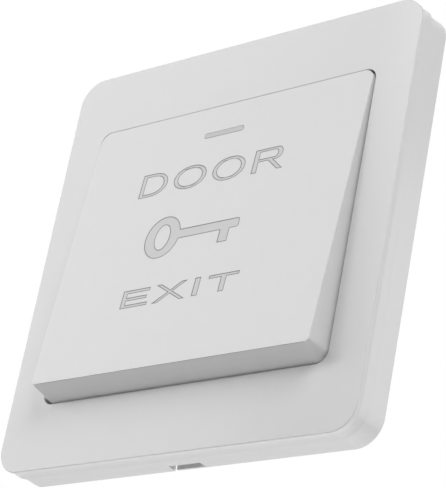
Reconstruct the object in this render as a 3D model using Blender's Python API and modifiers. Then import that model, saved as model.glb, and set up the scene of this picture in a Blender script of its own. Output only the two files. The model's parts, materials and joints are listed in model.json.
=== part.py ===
"""Door exit button: a wall plate with one large sprung rocker over a two-terminal push switch.

Blender 4.5, metres. X runs right, Y runs into the wall and Z up. The wall's surface is y = 0, and the
plate is centred on x = 0, z = 0.
"""
from math import atan2
from math import cos
from math import pi
from math import radians
from math import sin

import bmesh
import bpy
from mathutils import Matrix
from mathutils import Vector

# Wall plate, seen from the front
plate_size = 0.0860
plate_depth = 0.0078
plate_corner_radius = 0.0053
cover_face = 0.0020
cover_wall = 0.0016
front_edge_round = 0.0004
side_dip = 0.00015
side_dip_depth = 0.0011
side_ridge = 0.0003
rear_band = 0.0043
side_step = 0.0002
rear_taper = 0.00025

# Opening for the rocker
border_side = 0.0086
border_top = 0.01298
border_bottom = 0.01352
aperture_corner_radius = 0.0024
lip_wall = 0.0012
lip_depth = 0.0010

# Pry notch in the lower rim, and the tab that fills most of it
notch_width = 0.0075
notch_depth = 0.0020
notch_lip = 0.0008
notch_pocket_margin = 0.0010
tab_width = 0.0061
tab_shift = 0.00045
tab_recess = 0.00055
tab_gap = 0.0003

# Snaps between cover and base
snap_width = 0.0080
snap_reach = 0.0010
snap_foot = 0.00015
snap_length = 0.0014
snap_spacing = 0.0400
snap_height = 0.0030
snap_gap = 0.0003

# Base plate
base_gap = 0.0004
base_thickness = 0.0016
rim_wall = 0.0014
rim_height = 0.0044
fixing_spacing = 0.0603
fixing_slot_width = 0.0045
fixing_slot_length = 0.0090

# Rocker
rocker_gap = 0.00035
rocker_wall = 0.0018
rocker_top_proud = 0.00015
rocker_rise = 0.0049
rocker_side_lean = 0.00035
rocker_chin_lean = 0.0017
rocker_lean_start = 0.0006
rocker_edge_round = 0.0003
rocker_inner_radius = 0.0006
skirt_depth = 0.0028
press_clearance = 0.0005
rib_wall = 0.0012
rib_depth = 0.0012
rib_spacing = 0.0160

# Hinge of the rocker
hinge_drop = 0.00515
hinge_depth = 0.0038
hinge_pin_radius = 0.0013
hinge_pin_gap = 0.0003
hinge_side_room = 0.0044
cradle_width = 0.0030
cradle_margin = 0.0012
cradle_mouth = 0.0024
cradle_reach = 0.0017
ear_wall = 0.0015
ear_margin = 0.0005
ear_gap = 0.0003
press_angle = radians(4.2)

# Hooks that stop the rocker from springing out
hook_spacing = 0.0280
hook_width = 0.0040
hook_wall = 0.0013
hook_inset = 0.0008
hook_barb = 0.0009
hook_barb_foot = 0.0002
hook_barb_length = 0.0016
hook_gap = 0.0003
hook_swing = 0.0010

# Indicator strip
strip_length = 0.0101
strip_width = 0.0010
strip_drop = 0.00705
strip_gap = 0.00015
strip_recess = 0.00005
strip_flange = 0.0010
strip_flange_thickness = 0.0007

# Rocker springs
rocker_spring_side_room = 0.0099
rocker_spring_rise = 0.00753
rocker_spring_radius = 0.0026
rocker_spring_wire = 0.0005
rocker_spring_turns = 5.0
spring_pin_gap = 0.0004
spring_pin_height = 0.0015
spring_seat_gap = 0.0003

# Plunger
plunger_rise = 0.0122
plunger_radius = 0.0026
plunger_gap = 0.0003
plunger_front = 0.0060
plunger_foot = 0.0090
plunger_tip_round = 0.0005
guide_wall = 0.0014
guide_clearance = 0.0004
flange_radius = 0.0042
flange_thickness = 0.0015
stem_radius = 0.0018
post_radius = 0.0022
post_gap = 0.0003

# Contact bridge, terminals and their rivets
bridge_end = 0.0005
bridge_width = 0.0060
bridge_corner_radius = 0.0015
bridge_thickness = 0.0008
contact_spacing = 0.0180
contact_radius = 0.0018
contact_height = 0.0008
contact_crown = 0.0002
rivet_radius = 0.0008
rivet_tail_radius = 0.0014
rivet_tail = 0.0005
stack_gap = 0.00025
closed_gap = 0.0001
strap_thickness = 0.0008
contact_pad_margin = 0.0014
contact_pad_width = 0.0060
screw_pad_reach = 0.0050
screw_pad_width = 0.0090
screw_pad_rise = 0.0036
screw_lift = 0.0140
terminal_screw_spacing = 0.0220
terminal_screw_radius = 0.0015
terminal_screw_length = 0.0078
terminal_head_radius = 0.0029
terminal_head_height = 0.0021
screw_hole_gap = 0.0003
wire_clamp_size = 0.0070
wire_clamp_thickness = 0.0010
wire_clamp_corner = 0.0008
wire_clamp_groove = 0.0021
wire_clamp_bend = 0.0006

# Switch well and its rear cover
hook_web = 0.0003
well_wall = 0.0016
well_corner_radius = 0.0015
well_inner_radius = 0.0007
well_head_room = 0.0017
clamp_room = 0.0017
strap_gap = 0.0004
strap_post_width = 0.0030
strap_post_length = 0.0050
clamp_cover_gap = 0.0013
rear_cover_thickness = 0.0016
rear_cover_gap = 0.0003
spigot_height = 0.0014
spigot_wall = 0.0012
spigot_gap = 0.0003
window_margin = 0.0012
boss_radius = 0.0028
boss_inset = 0.0024
cover_screw_radius = 0.0012
cover_screw_length = 0.0075
cover_head_radius = 0.0024
cover_head_height = 0.0015
pilot_room = 0.0010
plunger_spring_radius = 0.0028
plunger_spring_wire = 0.0005
plunger_spring_turns = 7.0
seat_pin_height = 0.0016

# Screw heads and points
head_round = 0.0008
cross_length = 0.0028
cross_width = 0.0007
cross_depth = 0.0009
screw_point = 0.0006

# Roundness of curved forms, and small overlaps that let shapes join or cut cleanly
corner_steps = 8
edge_steps = 3
round_steps = 24
coil_steps = 14
flat_turns = 0.8
closed_pitch = 1.1
overlap = 0.0004
cut_margin = 0.0020
hair = 0.00001

# Places worked out from the sizes
half_plate = plate_size / 2
bezel_y = -plate_depth
cover_inner_y = bezel_y + cover_face
cover_inner_half = half_plate - cover_wall
base_half = cover_inner_half - base_gap
base_front_y = -base_thickness

aperture_half = half_plate - border_side
aperture_top = half_plate - border_top
aperture_bottom = -half_plate + border_bottom
aperture_middle = (0, (aperture_top + aperture_bottom) / 2)
aperture_size = (2 * aperture_half, aperture_top - aperture_bottom)
rocker_half_width = aperture_half - rocker_gap
rocker_top = aperture_top - rocker_gap
rocker_bottom = aperture_bottom + rocker_gap
rocker_corner_radius = aperture_corner_radius - rocker_gap
face_half_width = rocker_half_width - rocker_side_lean
face_bottom = rocker_bottom + rocker_chin_lean
face_top_y = bezel_y - rocker_top_proud
face_height = rocker_top - face_bottom
face_tilt = atan2(rocker_rise, face_height)

rocker_inner_half = face_half_width - rocker_wall
hinge_x = rocker_inner_half - hinge_side_room
hinge_z = rocker_top - hinge_drop
hinge_y = bezel_y + hinge_depth
press_at_chin = (hinge_z - rocker_bottom) * sin(press_angle)
skirt_top_y = bezel_y + skirt_depth
skirt_bottom_y = base_front_y - press_clearance - press_at_chin

hook_outer = face_bottom + rocker_wall + hook_inset
hook_inner = hook_outer + hook_wall
spring_x = rocker_inner_half - rocker_spring_side_room
spring_z = hook_inner + rocker_spring_rise
well_bottom = hook_inner + hook_swing + hook_web
plunger_z = well_bottom + plunger_rise
plunger_travel = (hinge_z - plunger_z) * press_angle
guide_front = -plunger_front - post_gap + plunger_travel + guide_clearance

bridge_front = flange_thickness + plunger_gap + stack_gap
bridge_rear = bridge_front + bridge_thickness
moving_head_rear = bridge_rear + stack_gap + contact_height
fixed_head_front = moving_head_rear + plunger_travel + closed_gap
contact_pad_front = fixed_head_front + contact_height + stack_gap
contact_pad_rear = contact_pad_front + strap_thickness
screw_pad_front = contact_pad_rear + screw_pad_rise
screw_pad_rear = screw_pad_front + strap_thickness
clamp_front = screw_pad_rear + stack_gap
clamp_rear = clamp_front + wire_clamp_thickness

contact_x = contact_spacing / 2
screw_x = terminal_screw_spacing / 2
screw_z = plunger_z + screw_lift
strap_outer = screw_x + wire_clamp_size / 2 + clamp_room + strap_thickness
well_inner_half = strap_outer + strap_gap
well_half = well_inner_half + well_wall
well_top = screw_z + screw_pad_width / 2 + well_head_room + well_wall
well_z = (well_bottom + well_top) / 2
well_size = (2 * well_half, well_top - well_bottom)
well_inside = (well_size[0] - 2 * well_wall, well_size[1] - 2 * well_wall)
well_depth = clamp_rear + clamp_cover_gap
rear_cover_front = well_depth + rear_cover_gap
rear_cover_rear = rear_cover_front + rear_cover_thickness
boss_x = well_inner_half - boss_inset
boss_z = well_bottom + well_wall + boss_inset
cover_screw_seat = rear_cover_rear + stack_gap


def face_y(z):
    """Depth of the rocker's face at a height."""
    return face_top_y - (rocker_top - z) * rocker_rise / face_height


def inner_face_y(z):
    """Depth of the inside of the rocker's face at a height."""
    return face_y(z) + rocker_wall / cos(face_tilt)


def side_name(side):
    return "left" if side < 0 else "right"


def clear_scene():
    for old in list(bpy.data.objects):
        bpy.data.objects.remove(old, do_unlink=True)


def new_collection(name):
    made = bpy.data.collections.new(name)
    bpy.context.scene.collection.children.link(made)
    return made


def make_material(name, colour, roughness, metallic=0.0):
    made = bpy.data.materials.new(name)
    made.use_nodes = True
    shader = made.node_tree.nodes["Principled BSDF"]
    shader.inputs["Base Color"].default_value = (*colour, 1.0)
    shader.inputs["Roughness"].default_value = roughness
    shader.inputs["Metallic"].default_value = metallic
    made.diffuse_color = (*colour, 1.0)
    return made


def place(name, mesh, material):
    """Make an object of a mesh: a part if it has a material, otherwise a cutter."""
    made = bpy.data.objects.new(name, mesh)
    if material:
        mesh.materials.append(material)
        parts.objects.link(made)
    else:
        cutters.objects.link(made)
        made.hide_render = True
        made.display_type = "WIRE"
    return made


def link_mesh(name, bm, material=None):
    bmesh.ops.recalc_face_normals(bm, faces=bm.faces)
    mesh = bpy.data.meshes.new(name)
    bm.to_mesh(mesh)
    bm.free()
    return place(name, mesh, material)


def block_mesh(low, high, radius=0.0):
    """A box between two corners, its four edges along Y rounded."""
    bm = bmesh.new()
    size = [b - a for a, b in zip(low, high)]
    middle = [(a + b) / 2 for a, b in zip(low, high)]
    stretch = Matrix.Diagonal((*size, 1.0))
    bmesh.ops.create_cube(bm, size=1.0, matrix=Matrix.Translation(middle) @ stretch)
    if radius > 0:
        along_y = [e for e in bm.edges if abs(e.verts[0].co.y - e.verts[1].co.y) > size[1] / 2]
        bmesh.ops.bevel(bm, geom=along_y, offset=radius, segments=corner_steps, affect="EDGES", profile=0.5)
    return bm


def block(name, low, high, radius=0.0, material=None):
    return link_mesh(name, block_mesh(low, high, radius), material)


def centred_block(name, centre, size, y_front, y_rear, radius=0.0, material=None):
    """A block given by its centre and size in X and Z, and its two depths."""
    low = (centre[0] - size[0] / 2, y_front, centre[1] - size[1] / 2)
    high = (centre[0] + size[0] / 2, y_rear, centre[1] + size[1] / 2)
    return block(name, low, high, radius, material)


def rod(name, start, end, radius):
    """A cylinder between two points."""
    start = Vector(start)
    end = Vector(end)
    along = end - start
    turn = along.to_track_quat("Z", "Y").to_matrix().to_4x4()
    stand = Matrix.Translation((start + end) / 2) @ turn
    bm = bmesh.new()
    bmesh.ops.create_cone(bm, cap_ends=True, segments=round_steps, radius1=radius, radius2=radius,
                          depth=along.length, matrix=stand)
    return link_mesh(name, bm)


def rod_in(name, centre, y_front, y_rear, radius):
    """A cylinder along Y, given by its centre in X and Z, and its two depths."""
    return rod(name, (centre[0], y_front, centre[1]), (centre[0], y_rear, centre[1]), radius)


def turned(name, profile, at, rearward, material):
    """A turned piece: (radius, distance) from its head down, turned about an axis along Y.

    Distances grow towards the head, which faces the wall if rearward and the room if not.
    """
    mesh = bpy.data.meshes.new(name)
    points = [(r, 0.0, d) for r, d in profile]
    mesh.from_pydata(points, [(i, i + 1) for i in range(len(points) - 1)], [])
    made = place(name, mesh, material)
    made.location = at
    made.rotation_euler = (-pi / 2 if rearward else pi / 2, 0.0, 0.0)
    lathe = made.modifiers.new("turn", "SCREW")
    lathe.axis = "Z"
    lathe.steps = round_steps
    lathe.render_steps = round_steps
    lathe.use_merge_vertices = True
    lathe.merge_threshold = hair / 10
    lathe.use_smooth_shade = False
    return made


def combine(target, operation, operand):
    step = target.modifiers.new(operand.name, "BOOLEAN")
    step.operation = operation
    step.solver = "EXACT"
    step.object = operand


def cut(target, *operands):
    for operand in operands:
        combine(target, "DIFFERENCE", operand)


def join(target, *operands):
    for operand in operands:
        combine(target, "UNION", operand)


def soften(target, width):
    """Round the sharp edges of a piece."""
    bevel = target.modifiers.new("edges", "BEVEL")
    bevel.width = width
    bevel.segments = edge_steps
    bevel.limit_method = "ANGLE"
    bevel.angle_limit = radians(35.0)


def coil(name, centre, y_front, y_rear, radius, wire, turns, material):
    """A compression spring along Y whose end turns lie nearly flat."""
    first = y_front + wire / 2
    last = y_rear - wire / 2
    closed = wire * closed_pitch
    flat = flat_turns / turns
    free_rise = last - first - 2 * closed * flat_turns
    count = int(turns * coil_steps)
    made = bpy.data.curves.new(name, "CURVE")
    made.dimensions = "3D"
    made.bevel_depth = wire / 2
    made.bevel_resolution = 2
    made.use_fill_caps = True
    spline = made.splines.new("POLY")
    spline.points.add(count)
    for i in range(count + 1):
        share = i / count
        angle = 2 * pi * turns * share
        end_turns = (min(share, flat) + max(share - (1 - flat), 0.0)) * turns
        free_share = min(max((share - flat) / (1 - 2 * flat), 0.0), 1.0)
        y = first + closed * end_turns + free_rise * free_share
        x = centre[0] + radius * cos(angle)
        z = centre[1] + radius * sin(angle)
        spline.points[i].co = (x, y, z, 1.0)
    made.materials.append(material)
    parts.objects.link(bpy.data.objects.new(name, made))


def joint_empty(name, at, *things):
    """An empty on a joint's axis, with the joint's pieces hung on it where they are."""
    pivot = bpy.data.objects.new(name, None)
    pivot.location = at
    parts.objects.link(pivot)
    for thing in things:
        thing.parent = pivot
        thing.matrix_parent_inverse = Matrix.Translation(at).inverted()


def cover_side():
    """The cover's side from front to wall, as (half width, depth) pairs."""
    dip_half = half_plate - side_dip
    side = []
    for i in range(edge_steps + 1):
        angle = pi / 2 * i / edge_steps
        half = dip_half - front_edge_round * (1 - sin(angle))
        side.append((half, bezel_y + front_edge_round * (1 - cos(angle))))
    side.append((dip_half, bezel_y + side_dip_depth))
    side.append((half_plate, -rear_band - side_ridge))
    side.append((half_plate, -rear_band))
    side.append((half_plate - side_step, -rear_band + side_step))
    side.append((half_plate - side_step - rear_taper, 0.0))
    return side


def draw_ring(ring, half):
    """Move the points of a rounded square so that its half width becomes the one given."""
    arc_centre = half_plate - plate_corner_radius
    for v in ring:
        x = arc_centre if v.co.x > 0 else -arc_centre
        z = arc_centre if v.co.z > 0 else -arc_centre
        centre = Vector((x, v.co.y, z))
        v.co = centre + (v.co - centre).normalized() * (plate_corner_radius - half_plate + half)


def cover_slab(material):
    """The cover's outer form: a rounded square drawn back ring by ring along its side's section."""
    side = cover_side()
    first_y = side[0][1]
    second_y = side[1][1]
    corner = (half_plate, second_y, half_plate)
    bm = block_mesh((-half_plate, first_y, -half_plate), corner, plate_corner_radius)
    front = [v for v in bm.verts if abs(v.co.y - first_y) < hair]
    rear = [v for v in bm.verts if abs(v.co.y - second_y) < hair]
    draw_ring(front, side[0][0])
    draw_ring(rear, side[1][0])
    for half, y in side[2:]:
        ring_y = rear[0].co.y
        cap = [f for f in bm.faces if all(abs(v.co.y - ring_y) < hair for v in f.verts)]
        grown = bmesh.ops.extrude_face_region(bm, geom=cap)
        bmesh.ops.delete(bm, geom=cap, context="FACES_ONLY")
        rear = [g for g in grown["geom"] if isinstance(g, bmesh.types.BMVert)]
        for v in rear:
            v.co.y = y
        draw_ring(rear, half)
    return link_mesh("face_frame", bm, material)


def snap_barb(name, side, z):
    """A wedge on the inside of the cover's wall: flat towards the front, sloped towards the wall."""
    root = side * (cover_inner_half + overlap)
    tip = side * (cover_inner_half - snap_reach)
    x_low, x_high = sorted((root, tip))
    low = (x_low, -snap_height, z - snap_width / 2)
    high = (x_high, -snap_height + snap_length, z + snap_width / 2)
    bm = block_mesh(low, high)
    for v in bm.verts:
        if v.co.y > -snap_height + snap_length / 2 and abs(v.co.x) < cover_inner_half:
            v.co.x = side * (cover_inner_half - snap_foot)
    return link_mesh(name, bm)


def snap_places():
    return [(side, up * snap_spacing / 2) for side in (-1, 1) for up in (-1, 1)]


def make_face_frame(material):
    cover = cover_slab(material)
    inner_radius = plate_corner_radius - cover_wall
    across = 2 * cover_inner_half
    lip_size = [size + 2 * lip_wall for size in aperture_size]
    lip_rear = cover_inner_y + lip_depth
    cut(cover, centred_block("cover_hollow", (0, 0), (across, across), cover_inner_y, cut_margin,
                             inner_radius))
    join(cover, centred_block("cover_lip", aperture_middle, lip_size, cover_inner_y - overlap, lip_rear,
                              aperture_corner_radius + lip_wall))
    cut(cover, centred_block("cover_opening", aperture_middle, aperture_size, bezel_y - cut_margin,
                             lip_rear + cut_margin, aperture_corner_radius))
    for i, (side, z) in enumerate(snap_places()):
        join(cover, snap_barb("cover_barb_%d" % i, side, z))

    pocket_half = notch_width / 2 + notch_pocket_margin
    pocket_front = -notch_depth - notch_pocket_margin
    pocket_low = -half_plate + side_step + notch_lip
    behind_wall = -cover_inner_half + overlap
    cut(cover,
        block("notch_pocket", (-pocket_half, pocket_front, pocket_low),
              (pocket_half, cut_margin, behind_wall)),
        block("pry_notch", (-notch_width / 2, -notch_depth, -half_plate - cut_margin),
              (notch_width / 2, cut_margin, behind_wall)))
    return cover


def make_base_plate(material):
    base_radius = plate_corner_radius - cover_wall - base_gap
    across = 2 * base_half
    tray = across - 2 * rim_wall
    base = centred_block("base_plate", (0, 0), (across, across), -rim_height, 0.0, base_radius, material)
    cut(base, centred_block("base_tray", (0, 0), (tray, tray), -rim_height - cut_margin, base_front_y,
                            base_radius - rim_wall))
    for i, (side, z) in enumerate(snap_places()):
        at = (side * (base_half - rim_wall / 2), z)
        size = (rim_wall + 2 * overlap, snap_width + 2 * snap_gap)
        cut(base, centred_block("snap_window_%d" % i, at, size, -snap_height - snap_gap,
                                -snap_height + snap_length + snap_gap))

    tab_left = tab_shift - tab_width / 2
    tab_low = -half_plate + side_step + tab_recess
    join(base, block("pry_tab", (tab_left, -notch_depth + tab_gap, tab_low),
                     (tab_left + tab_width, 0.0, -base_half + rim_wall / 2)))

    buried = base_front_y / 2
    guide_radius = plunger_radius + plunger_gap
    guide_at = (0, plunger_z)
    join(base, centred_block("well_outside", (0, well_z), well_size, buried, well_depth, well_corner_radius),
         rod_in("guide_boss", guide_at, guide_front, buried, guide_radius + guide_wall))
    cut(base, centred_block("well_inner_space", (0, well_z), well_inside, 0.0, well_depth + cut_margin,
                            well_inner_radius))
    for side in (-1, 1):
        add_well_posts(base, side)
        at = (side * fixing_spacing / 2, 0)
        cut(base, centred_block("fixing_slot_" + side_name(side), at, (fixing_slot_length, fixing_slot_width),
                                -rim_height - cut_margin, cut_margin, fixing_slot_width / 2 - hair))
        add_cradle(base, side)
        add_hook_window(base, side)
        add_spring_pin(base, side)
    cut(base, rod_in("guide_bore", guide_at, guide_front - cut_margin, cut_margin, guide_radius))
    return base


def add_well_posts(base, side):
    """Inside the switch well: a boss for the rear cover's screw, and a post under the contact strap."""
    where = side_name(side)
    boss_at = (side * boss_x, boss_z)
    pilot_front = cover_screw_seat - cover_screw_length - pilot_room
    post_at = (side * (strap_outer - strap_thickness - stack_gap - strap_post_width / 2), plunger_z)
    join(base, rod_in("screw_boss_" + where, boss_at, -overlap, well_depth, boss_radius),
         centred_block("strap_post_" + where, post_at, (strap_post_width, strap_post_length), -overlap,
                       contact_pad_front - stack_gap))
    cut(base, rod_in("pilot_hole_" + where, boss_at, pilot_front, well_depth + cut_margin,
                     cover_screw_radius + screw_hole_gap))


def add_cradle(base, side):
    """Open bearing that the rocker's hinge pin snaps into from the front."""
    where = side_name(side)
    x = side * hinge_x
    half_width = cradle_width / 2
    bore_radius = hinge_pin_radius + hinge_pin_gap
    half_height = bore_radius + cradle_margin
    front = hinge_y - cradle_reach
    reach = half_width + overlap
    join(base, block("cradle_" + where, (x - half_width, front, hinge_z - half_height),
                     (x + half_width, base_front_y + overlap, hinge_z + half_height)))
    cut(base,
        rod("cradle_bore_" + where, (x - reach, hinge_y, hinge_z), (x + reach, hinge_y, hinge_z),
            bore_radius),
        block("cradle_mouth_" + where, (x - reach, front - cut_margin, hinge_z - cradle_mouth / 2),
              (x + reach, hinge_y, hinge_z + cradle_mouth / 2)))


def add_hook_window(base, side):
    x = side * hook_spacing / 2
    half_width = hook_width / 2 + hook_gap
    cut(base, block("hook_window_" + side_name(side),
                    (x - half_width, base_front_y - cut_margin, hook_outer - hook_gap),
                    (x + half_width, cut_margin, hook_inner + hook_swing)))


def add_spring_pin(base, side):
    pin_radius = rocker_spring_radius - rocker_spring_wire / 2 - spring_pin_gap
    join(base, rod_in("spring_pin_" + side_name(side), (side * spring_x, spring_z),
                      base_front_y - spring_pin_height, base_front_y + overlap, pin_radius))


def wedge_mesh(inset, rear_extra):
    """The rocker's wedge, or its hollow when inset by the wall's thickness."""
    half_width = rocker_half_width - inset
    top = rocker_top - inset
    bottom = rocker_bottom + inset
    radius = max(rocker_corner_radius - inset, rocker_inner_radius)
    lean_y = bezel_y + rocker_lean_start + inset
    bm = block_mesh((-half_width, lean_y - rocker_wall, bottom), (half_width, lean_y, top), radius)
    face_ring = [v for v in bm.verts if v.co.y < lean_y - rocker_wall / 2]
    lean_ring = [v for v in bm.verts if v.co.y > lean_y - rocker_wall / 2]
    width_share = (face_half_width - inset) / half_width
    height_share = (face_height - 2 * inset) / (top - bottom)
    for v in face_ring:
        v.co.x *= width_share
        v.co.z = top - (top - v.co.z) * height_share
        v.co.y = face_y(v.co.z) + inset / cos(face_tilt)
    cap = [f for f in bm.faces if all(v in lean_ring for v in f.verts)]
    grown = bmesh.ops.extrude_face_region(bm, geom=cap)
    bmesh.ops.delete(bm, geom=cap, context="FACES_ONLY")
    for g in grown["geom"]:
        if isinstance(g, bmesh.types.BMVert):
            share = (rocker_top - g.co.z) / (rocker_top - rocker_bottom)
            g.co.y = skirt_top_y + (skirt_bottom_y - skirt_top_y) * share + rear_extra
    return bm


def make_rocker(material):
    rocker = link_mesh("rocker_button", wedge_mesh(0.0, 0.0), material)
    soften(rocker, rocker_edge_round)
    cut(rocker, link_mesh("rocker_hollow", wedge_mesh(rocker_wall, cut_margin)))
    for side in (-1, 1):
        join(rocker, rocker_rib("rocker_rib_" + side_name(side), side * rib_spacing / 2))
        add_hinge(rocker, side)
        add_hook(rocker, side)
        add_rocker_pin(rocker, side)
    root = inner_face_y(plunger_z) - rocker_wall / 2
    tip = -plunger_front - post_gap
    join(rocker, rod_in("rocker_post", (0, plunger_z), root, tip, post_radius))
    slot_size = (strip_length + 2 * strip_gap, strip_width + 2 * strip_gap)
    cut(rocker, link_mesh("strip_slot", strip_bar(slot_size, -cut_margin, rocker_wall + cut_margin)))
    return rocker


def rocker_rib(name, x):
    """A stiffening rib down the back of the face, following its slope."""
    low = (x - rib_wall / 2, 0.0, face_bottom + rocker_wall / 2)
    high = (x + rib_wall / 2, rocker_wall / 2 + rib_depth, rocker_top - rocker_wall / 2)
    bm = block_mesh(low, high)
    for v in bm.verts:
        v.co.y += inner_face_y(v.co.z) - rocker_wall / 2
    return link_mesh(name, bm)


def add_hinge(rocker, side):
    """An ear behind the face that carries a hinge pin pointing outwards."""
    where = side_name(side)
    ear_outer = hinge_x - cradle_width / 2 - ear_gap
    ear_inner = ear_outer - ear_wall
    pin_end = hinge_x + cradle_width / 2
    ear_half = hinge_pin_radius + ear_margin
    x_low, x_high = sorted((side * ear_inner, side * ear_outer))
    root = inner_face_y(hinge_z + ear_half) - rocker_wall / 2
    join(rocker, block("hinge_ear_" + where, (x_low, root, hinge_z - ear_half),
                       (x_high, hinge_y + ear_half, hinge_z + ear_half)))
    join(rocker, rod("hinge_pin_" + where, (side * (ear_inner + overlap), hinge_y, hinge_z),
                     (side * pin_end, hinge_y, hinge_z), hinge_pin_radius))


def add_hook(rocker, side):
    """A springy arm through the base whose barb catches behind it."""
    where = side_name(side)
    left = side * hook_spacing / 2 - hook_width / 2
    right = left + hook_width
    root = inner_face_y(hook_inner) - rocker_wall / 2
    tip = hook_gap + hook_barb_length
    bm = block_mesh((left, hook_gap, hook_outer - hook_barb), (right, tip, hook_outer + hook_wall / 2))
    for v in bm.verts:
        if v.co.y > tip - hair and v.co.z < hook_outer:
            v.co.z = hook_outer - hook_barb_foot
    join(rocker, block("hook_arm_" + where, (left, root, hook_outer), (right, tip, hook_inner)))
    join(rocker, link_mesh("hook_barb_" + where, bm))


def add_rocker_pin(rocker, side):
    pin_radius = rocker_spring_radius - rocker_spring_wire / 2 - spring_pin_gap
    face = inner_face_y(spring_z)
    join(rocker, rod_in("rocker_pin_" + side_name(side), (side * spring_x, spring_z), face - rocker_wall / 2,
                        face + spring_pin_height, pin_radius))


def on_face(bm):
    """Lay a shape made at the origin on the rocker's sloping face, where the indicator is."""
    centre = (0, face_top_y - strip_drop * sin(face_tilt), rocker_top - strip_drop * cos(face_tilt))
    bm.transform(Matrix.Translation(centre) @ Matrix.Rotation(-face_tilt, 4, "X"))
    return bm


def strip_bar(size, y_front, y_rear):
    """A round-ended bar on the rocker's face, its depths counted from the face."""
    low = (-size[0] / 2, y_front, -size[1] / 2)
    high = (size[0] / 2, y_rear, size[1] / 2)
    return on_face(block_mesh(low, high, size[1] / 2 - hair))


def make_indicator_strip(material):
    behind = rocker_wall + strip_gap
    half_long = strip_length / 2 + strip_flange
    half_wide = strip_width / 2 + strip_flange
    bar = strip_bar((strip_length, strip_width), strip_recess, behind + overlap)
    strip = link_mesh("indicator_strip", bar, material)
    flange = block_mesh((-half_long, behind, -half_wide),
                        (half_long, behind + strip_flange_thickness, half_wide))
    join(strip, link_mesh("strip_flange", on_face(flange)))
    return strip


def make_plunger(material):
    """A turned slider: push head, flange behind the base, and the stem that carries the bridge."""
    flange_rear = plunger_gap + flange_thickness
    profile = [
        (0.0, plunger_front),
        (plunger_radius - plunger_tip_round, plunger_front),
        (plunger_radius, plunger_front - plunger_tip_round),
        (plunger_radius, -plunger_gap),
        (flange_radius, -plunger_gap),
        (flange_radius, -flange_rear),
        (stem_radius, -flange_rear),
        (stem_radius, -plunger_foot + plunger_tip_round),
        (stem_radius - plunger_tip_round, -plunger_foot),
        (0.0, -plunger_foot),
    ]
    return turned("switch_plunger", profile, (0, 0, plunger_z), False, material)


def make_bridge(material):
    """The strip that joins the two fixed contacts, on the plunger's stem."""
    size = (contact_spacing + 2 * contact_radius + 2 * bridge_end, bridge_width)
    drill_front = bridge_front - cut_margin
    drill_rear = bridge_rear + cut_margin
    bridge = centred_block("contact_bridge", (0, plunger_z), size, bridge_front, bridge_rear,
                           bridge_corner_radius, material)
    cut(bridge, rod_in("bridge_hole", (0, plunger_z), drill_front, drill_rear, stem_radius + plunger_gap))
    for side in (-1, 1):
        cut(bridge, rod_in("bridge_rivet_hole_" + side_name(side), (side * contact_x, plunger_z), drill_front,
                           drill_rear, rivet_radius + stack_gap))
    return bridge


def make_contact(name, side, face, strip_near, strip_far, rearward, material):
    """A contact rivet: its head's face, and the two faces of the strip that it is riveted through."""
    sign = 1 if rearward else -1
    head_back = sign * (strip_near - face) + stack_gap
    tail_start = sign * (strip_far - face) - stack_gap
    profile = [
        (0.0, 0.0),
        (contact_radius - contact_crown, 0.0),
        (contact_radius, -contact_crown),
        (contact_radius, head_back),
        (rivet_radius, head_back),
        (rivet_radius, tail_start),
        (rivet_tail_radius, tail_start),
        (rivet_tail_radius, tail_start - rivet_tail),
        (0.0, tail_start - rivet_tail),
    ]
    return turned(name, profile, (side * contact_x, face, plunger_z), rearward, material)


def make_terminal(name, side, material):
    """A folded strap: contact pad, leg along the well's wall, and screw pad."""
    def strap_piece(suffix, inner, depths, heights, finish=None):
        x_low, x_high = sorted((side * inner, side * strap_outer))
        low = (x_low, depths[0], heights[0])
        high = (x_high, depths[1], heights[1])
        return block(name + suffix, low, high, 0.0, finish)

    pad = (plunger_z - contact_pad_width / 2, plunger_z + contact_pad_width / 2)
    screw_pad = (screw_z - screw_pad_width / 2, screw_z + screw_pad_width / 2)
    leg_inner = strap_outer - strap_thickness
    strap = strap_piece("", contact_x - contact_radius - contact_pad_margin,
                        (contact_pad_front, contact_pad_rear), pad, material)
    join(strap,
         strap_piece("_leg", leg_inner, (contact_pad_front, screw_pad_rear), (pad[0], screw_pad[1])),
         strap_piece("_screw_pad", screw_x - screw_pad_reach, (screw_pad_front, screw_pad_rear), screw_pad))
    cut(strap,
        rod_in(name + "_rivet_hole", (side * contact_x, plunger_z), contact_pad_front - cut_margin,
               contact_pad_rear + cut_margin, rivet_radius + stack_gap),
        rod_in(name + "_screw_hole", (side * screw_x, screw_z), screw_pad_front - cut_margin,
               screw_pad_rear + cut_margin, terminal_screw_radius + screw_hole_gap))
    return strap


def make_wire_clamp(name, side, material):
    """A square clamp washer with two turned-down edges."""
    at = (side * screw_x, screw_z)
    clamp = centred_block(name, at, (wire_clamp_size, wire_clamp_size), clamp_front, clamp_rear,
                          wire_clamp_corner, material)
    groove = (wire_clamp_size + 2 * cut_margin, wire_clamp_groove)
    cut(clamp,
        rod_in(name + "_hole", at, clamp_front - cut_margin, clamp_rear + cut_margin,
               terminal_screw_radius + screw_hole_gap),
        centred_block(name + "_groove", at, groove, clamp_front - cut_margin, clamp_rear - wire_clamp_bend))
    return clamp


def make_screw(name, at, radius, length, head_radius, head_height, material):
    """A pan-head screw whose head faces the rear, with a cross recess; at is under its head."""
    profile = [(0.0, head_height)]
    for i in range(edge_steps + 1):
        angle = pi / 2 * i / edge_steps
        rim = head_radius - head_round * (1 - sin(angle))
        profile.append((rim, head_height - head_round * (1 - cos(angle))))
    profile += [
        (head_radius, 0.0),
        (radius, 0.0),
        (radius, -length + screw_point),
        (radius - screw_point, -length),
        (0.0, -length),
    ]
    screw = turned(name, profile, at, True, material)
    x, y, z = at
    floor = y + head_height - cross_depth
    top = y + head_height + cut_margin
    cut(screw, centred_block(name + "_slot", (x, z), (cross_length, cross_width), floor, top),
        centred_block(name + "_cross", (x, z), (cross_width, cross_length), floor - hair, top))
    return screw


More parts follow.
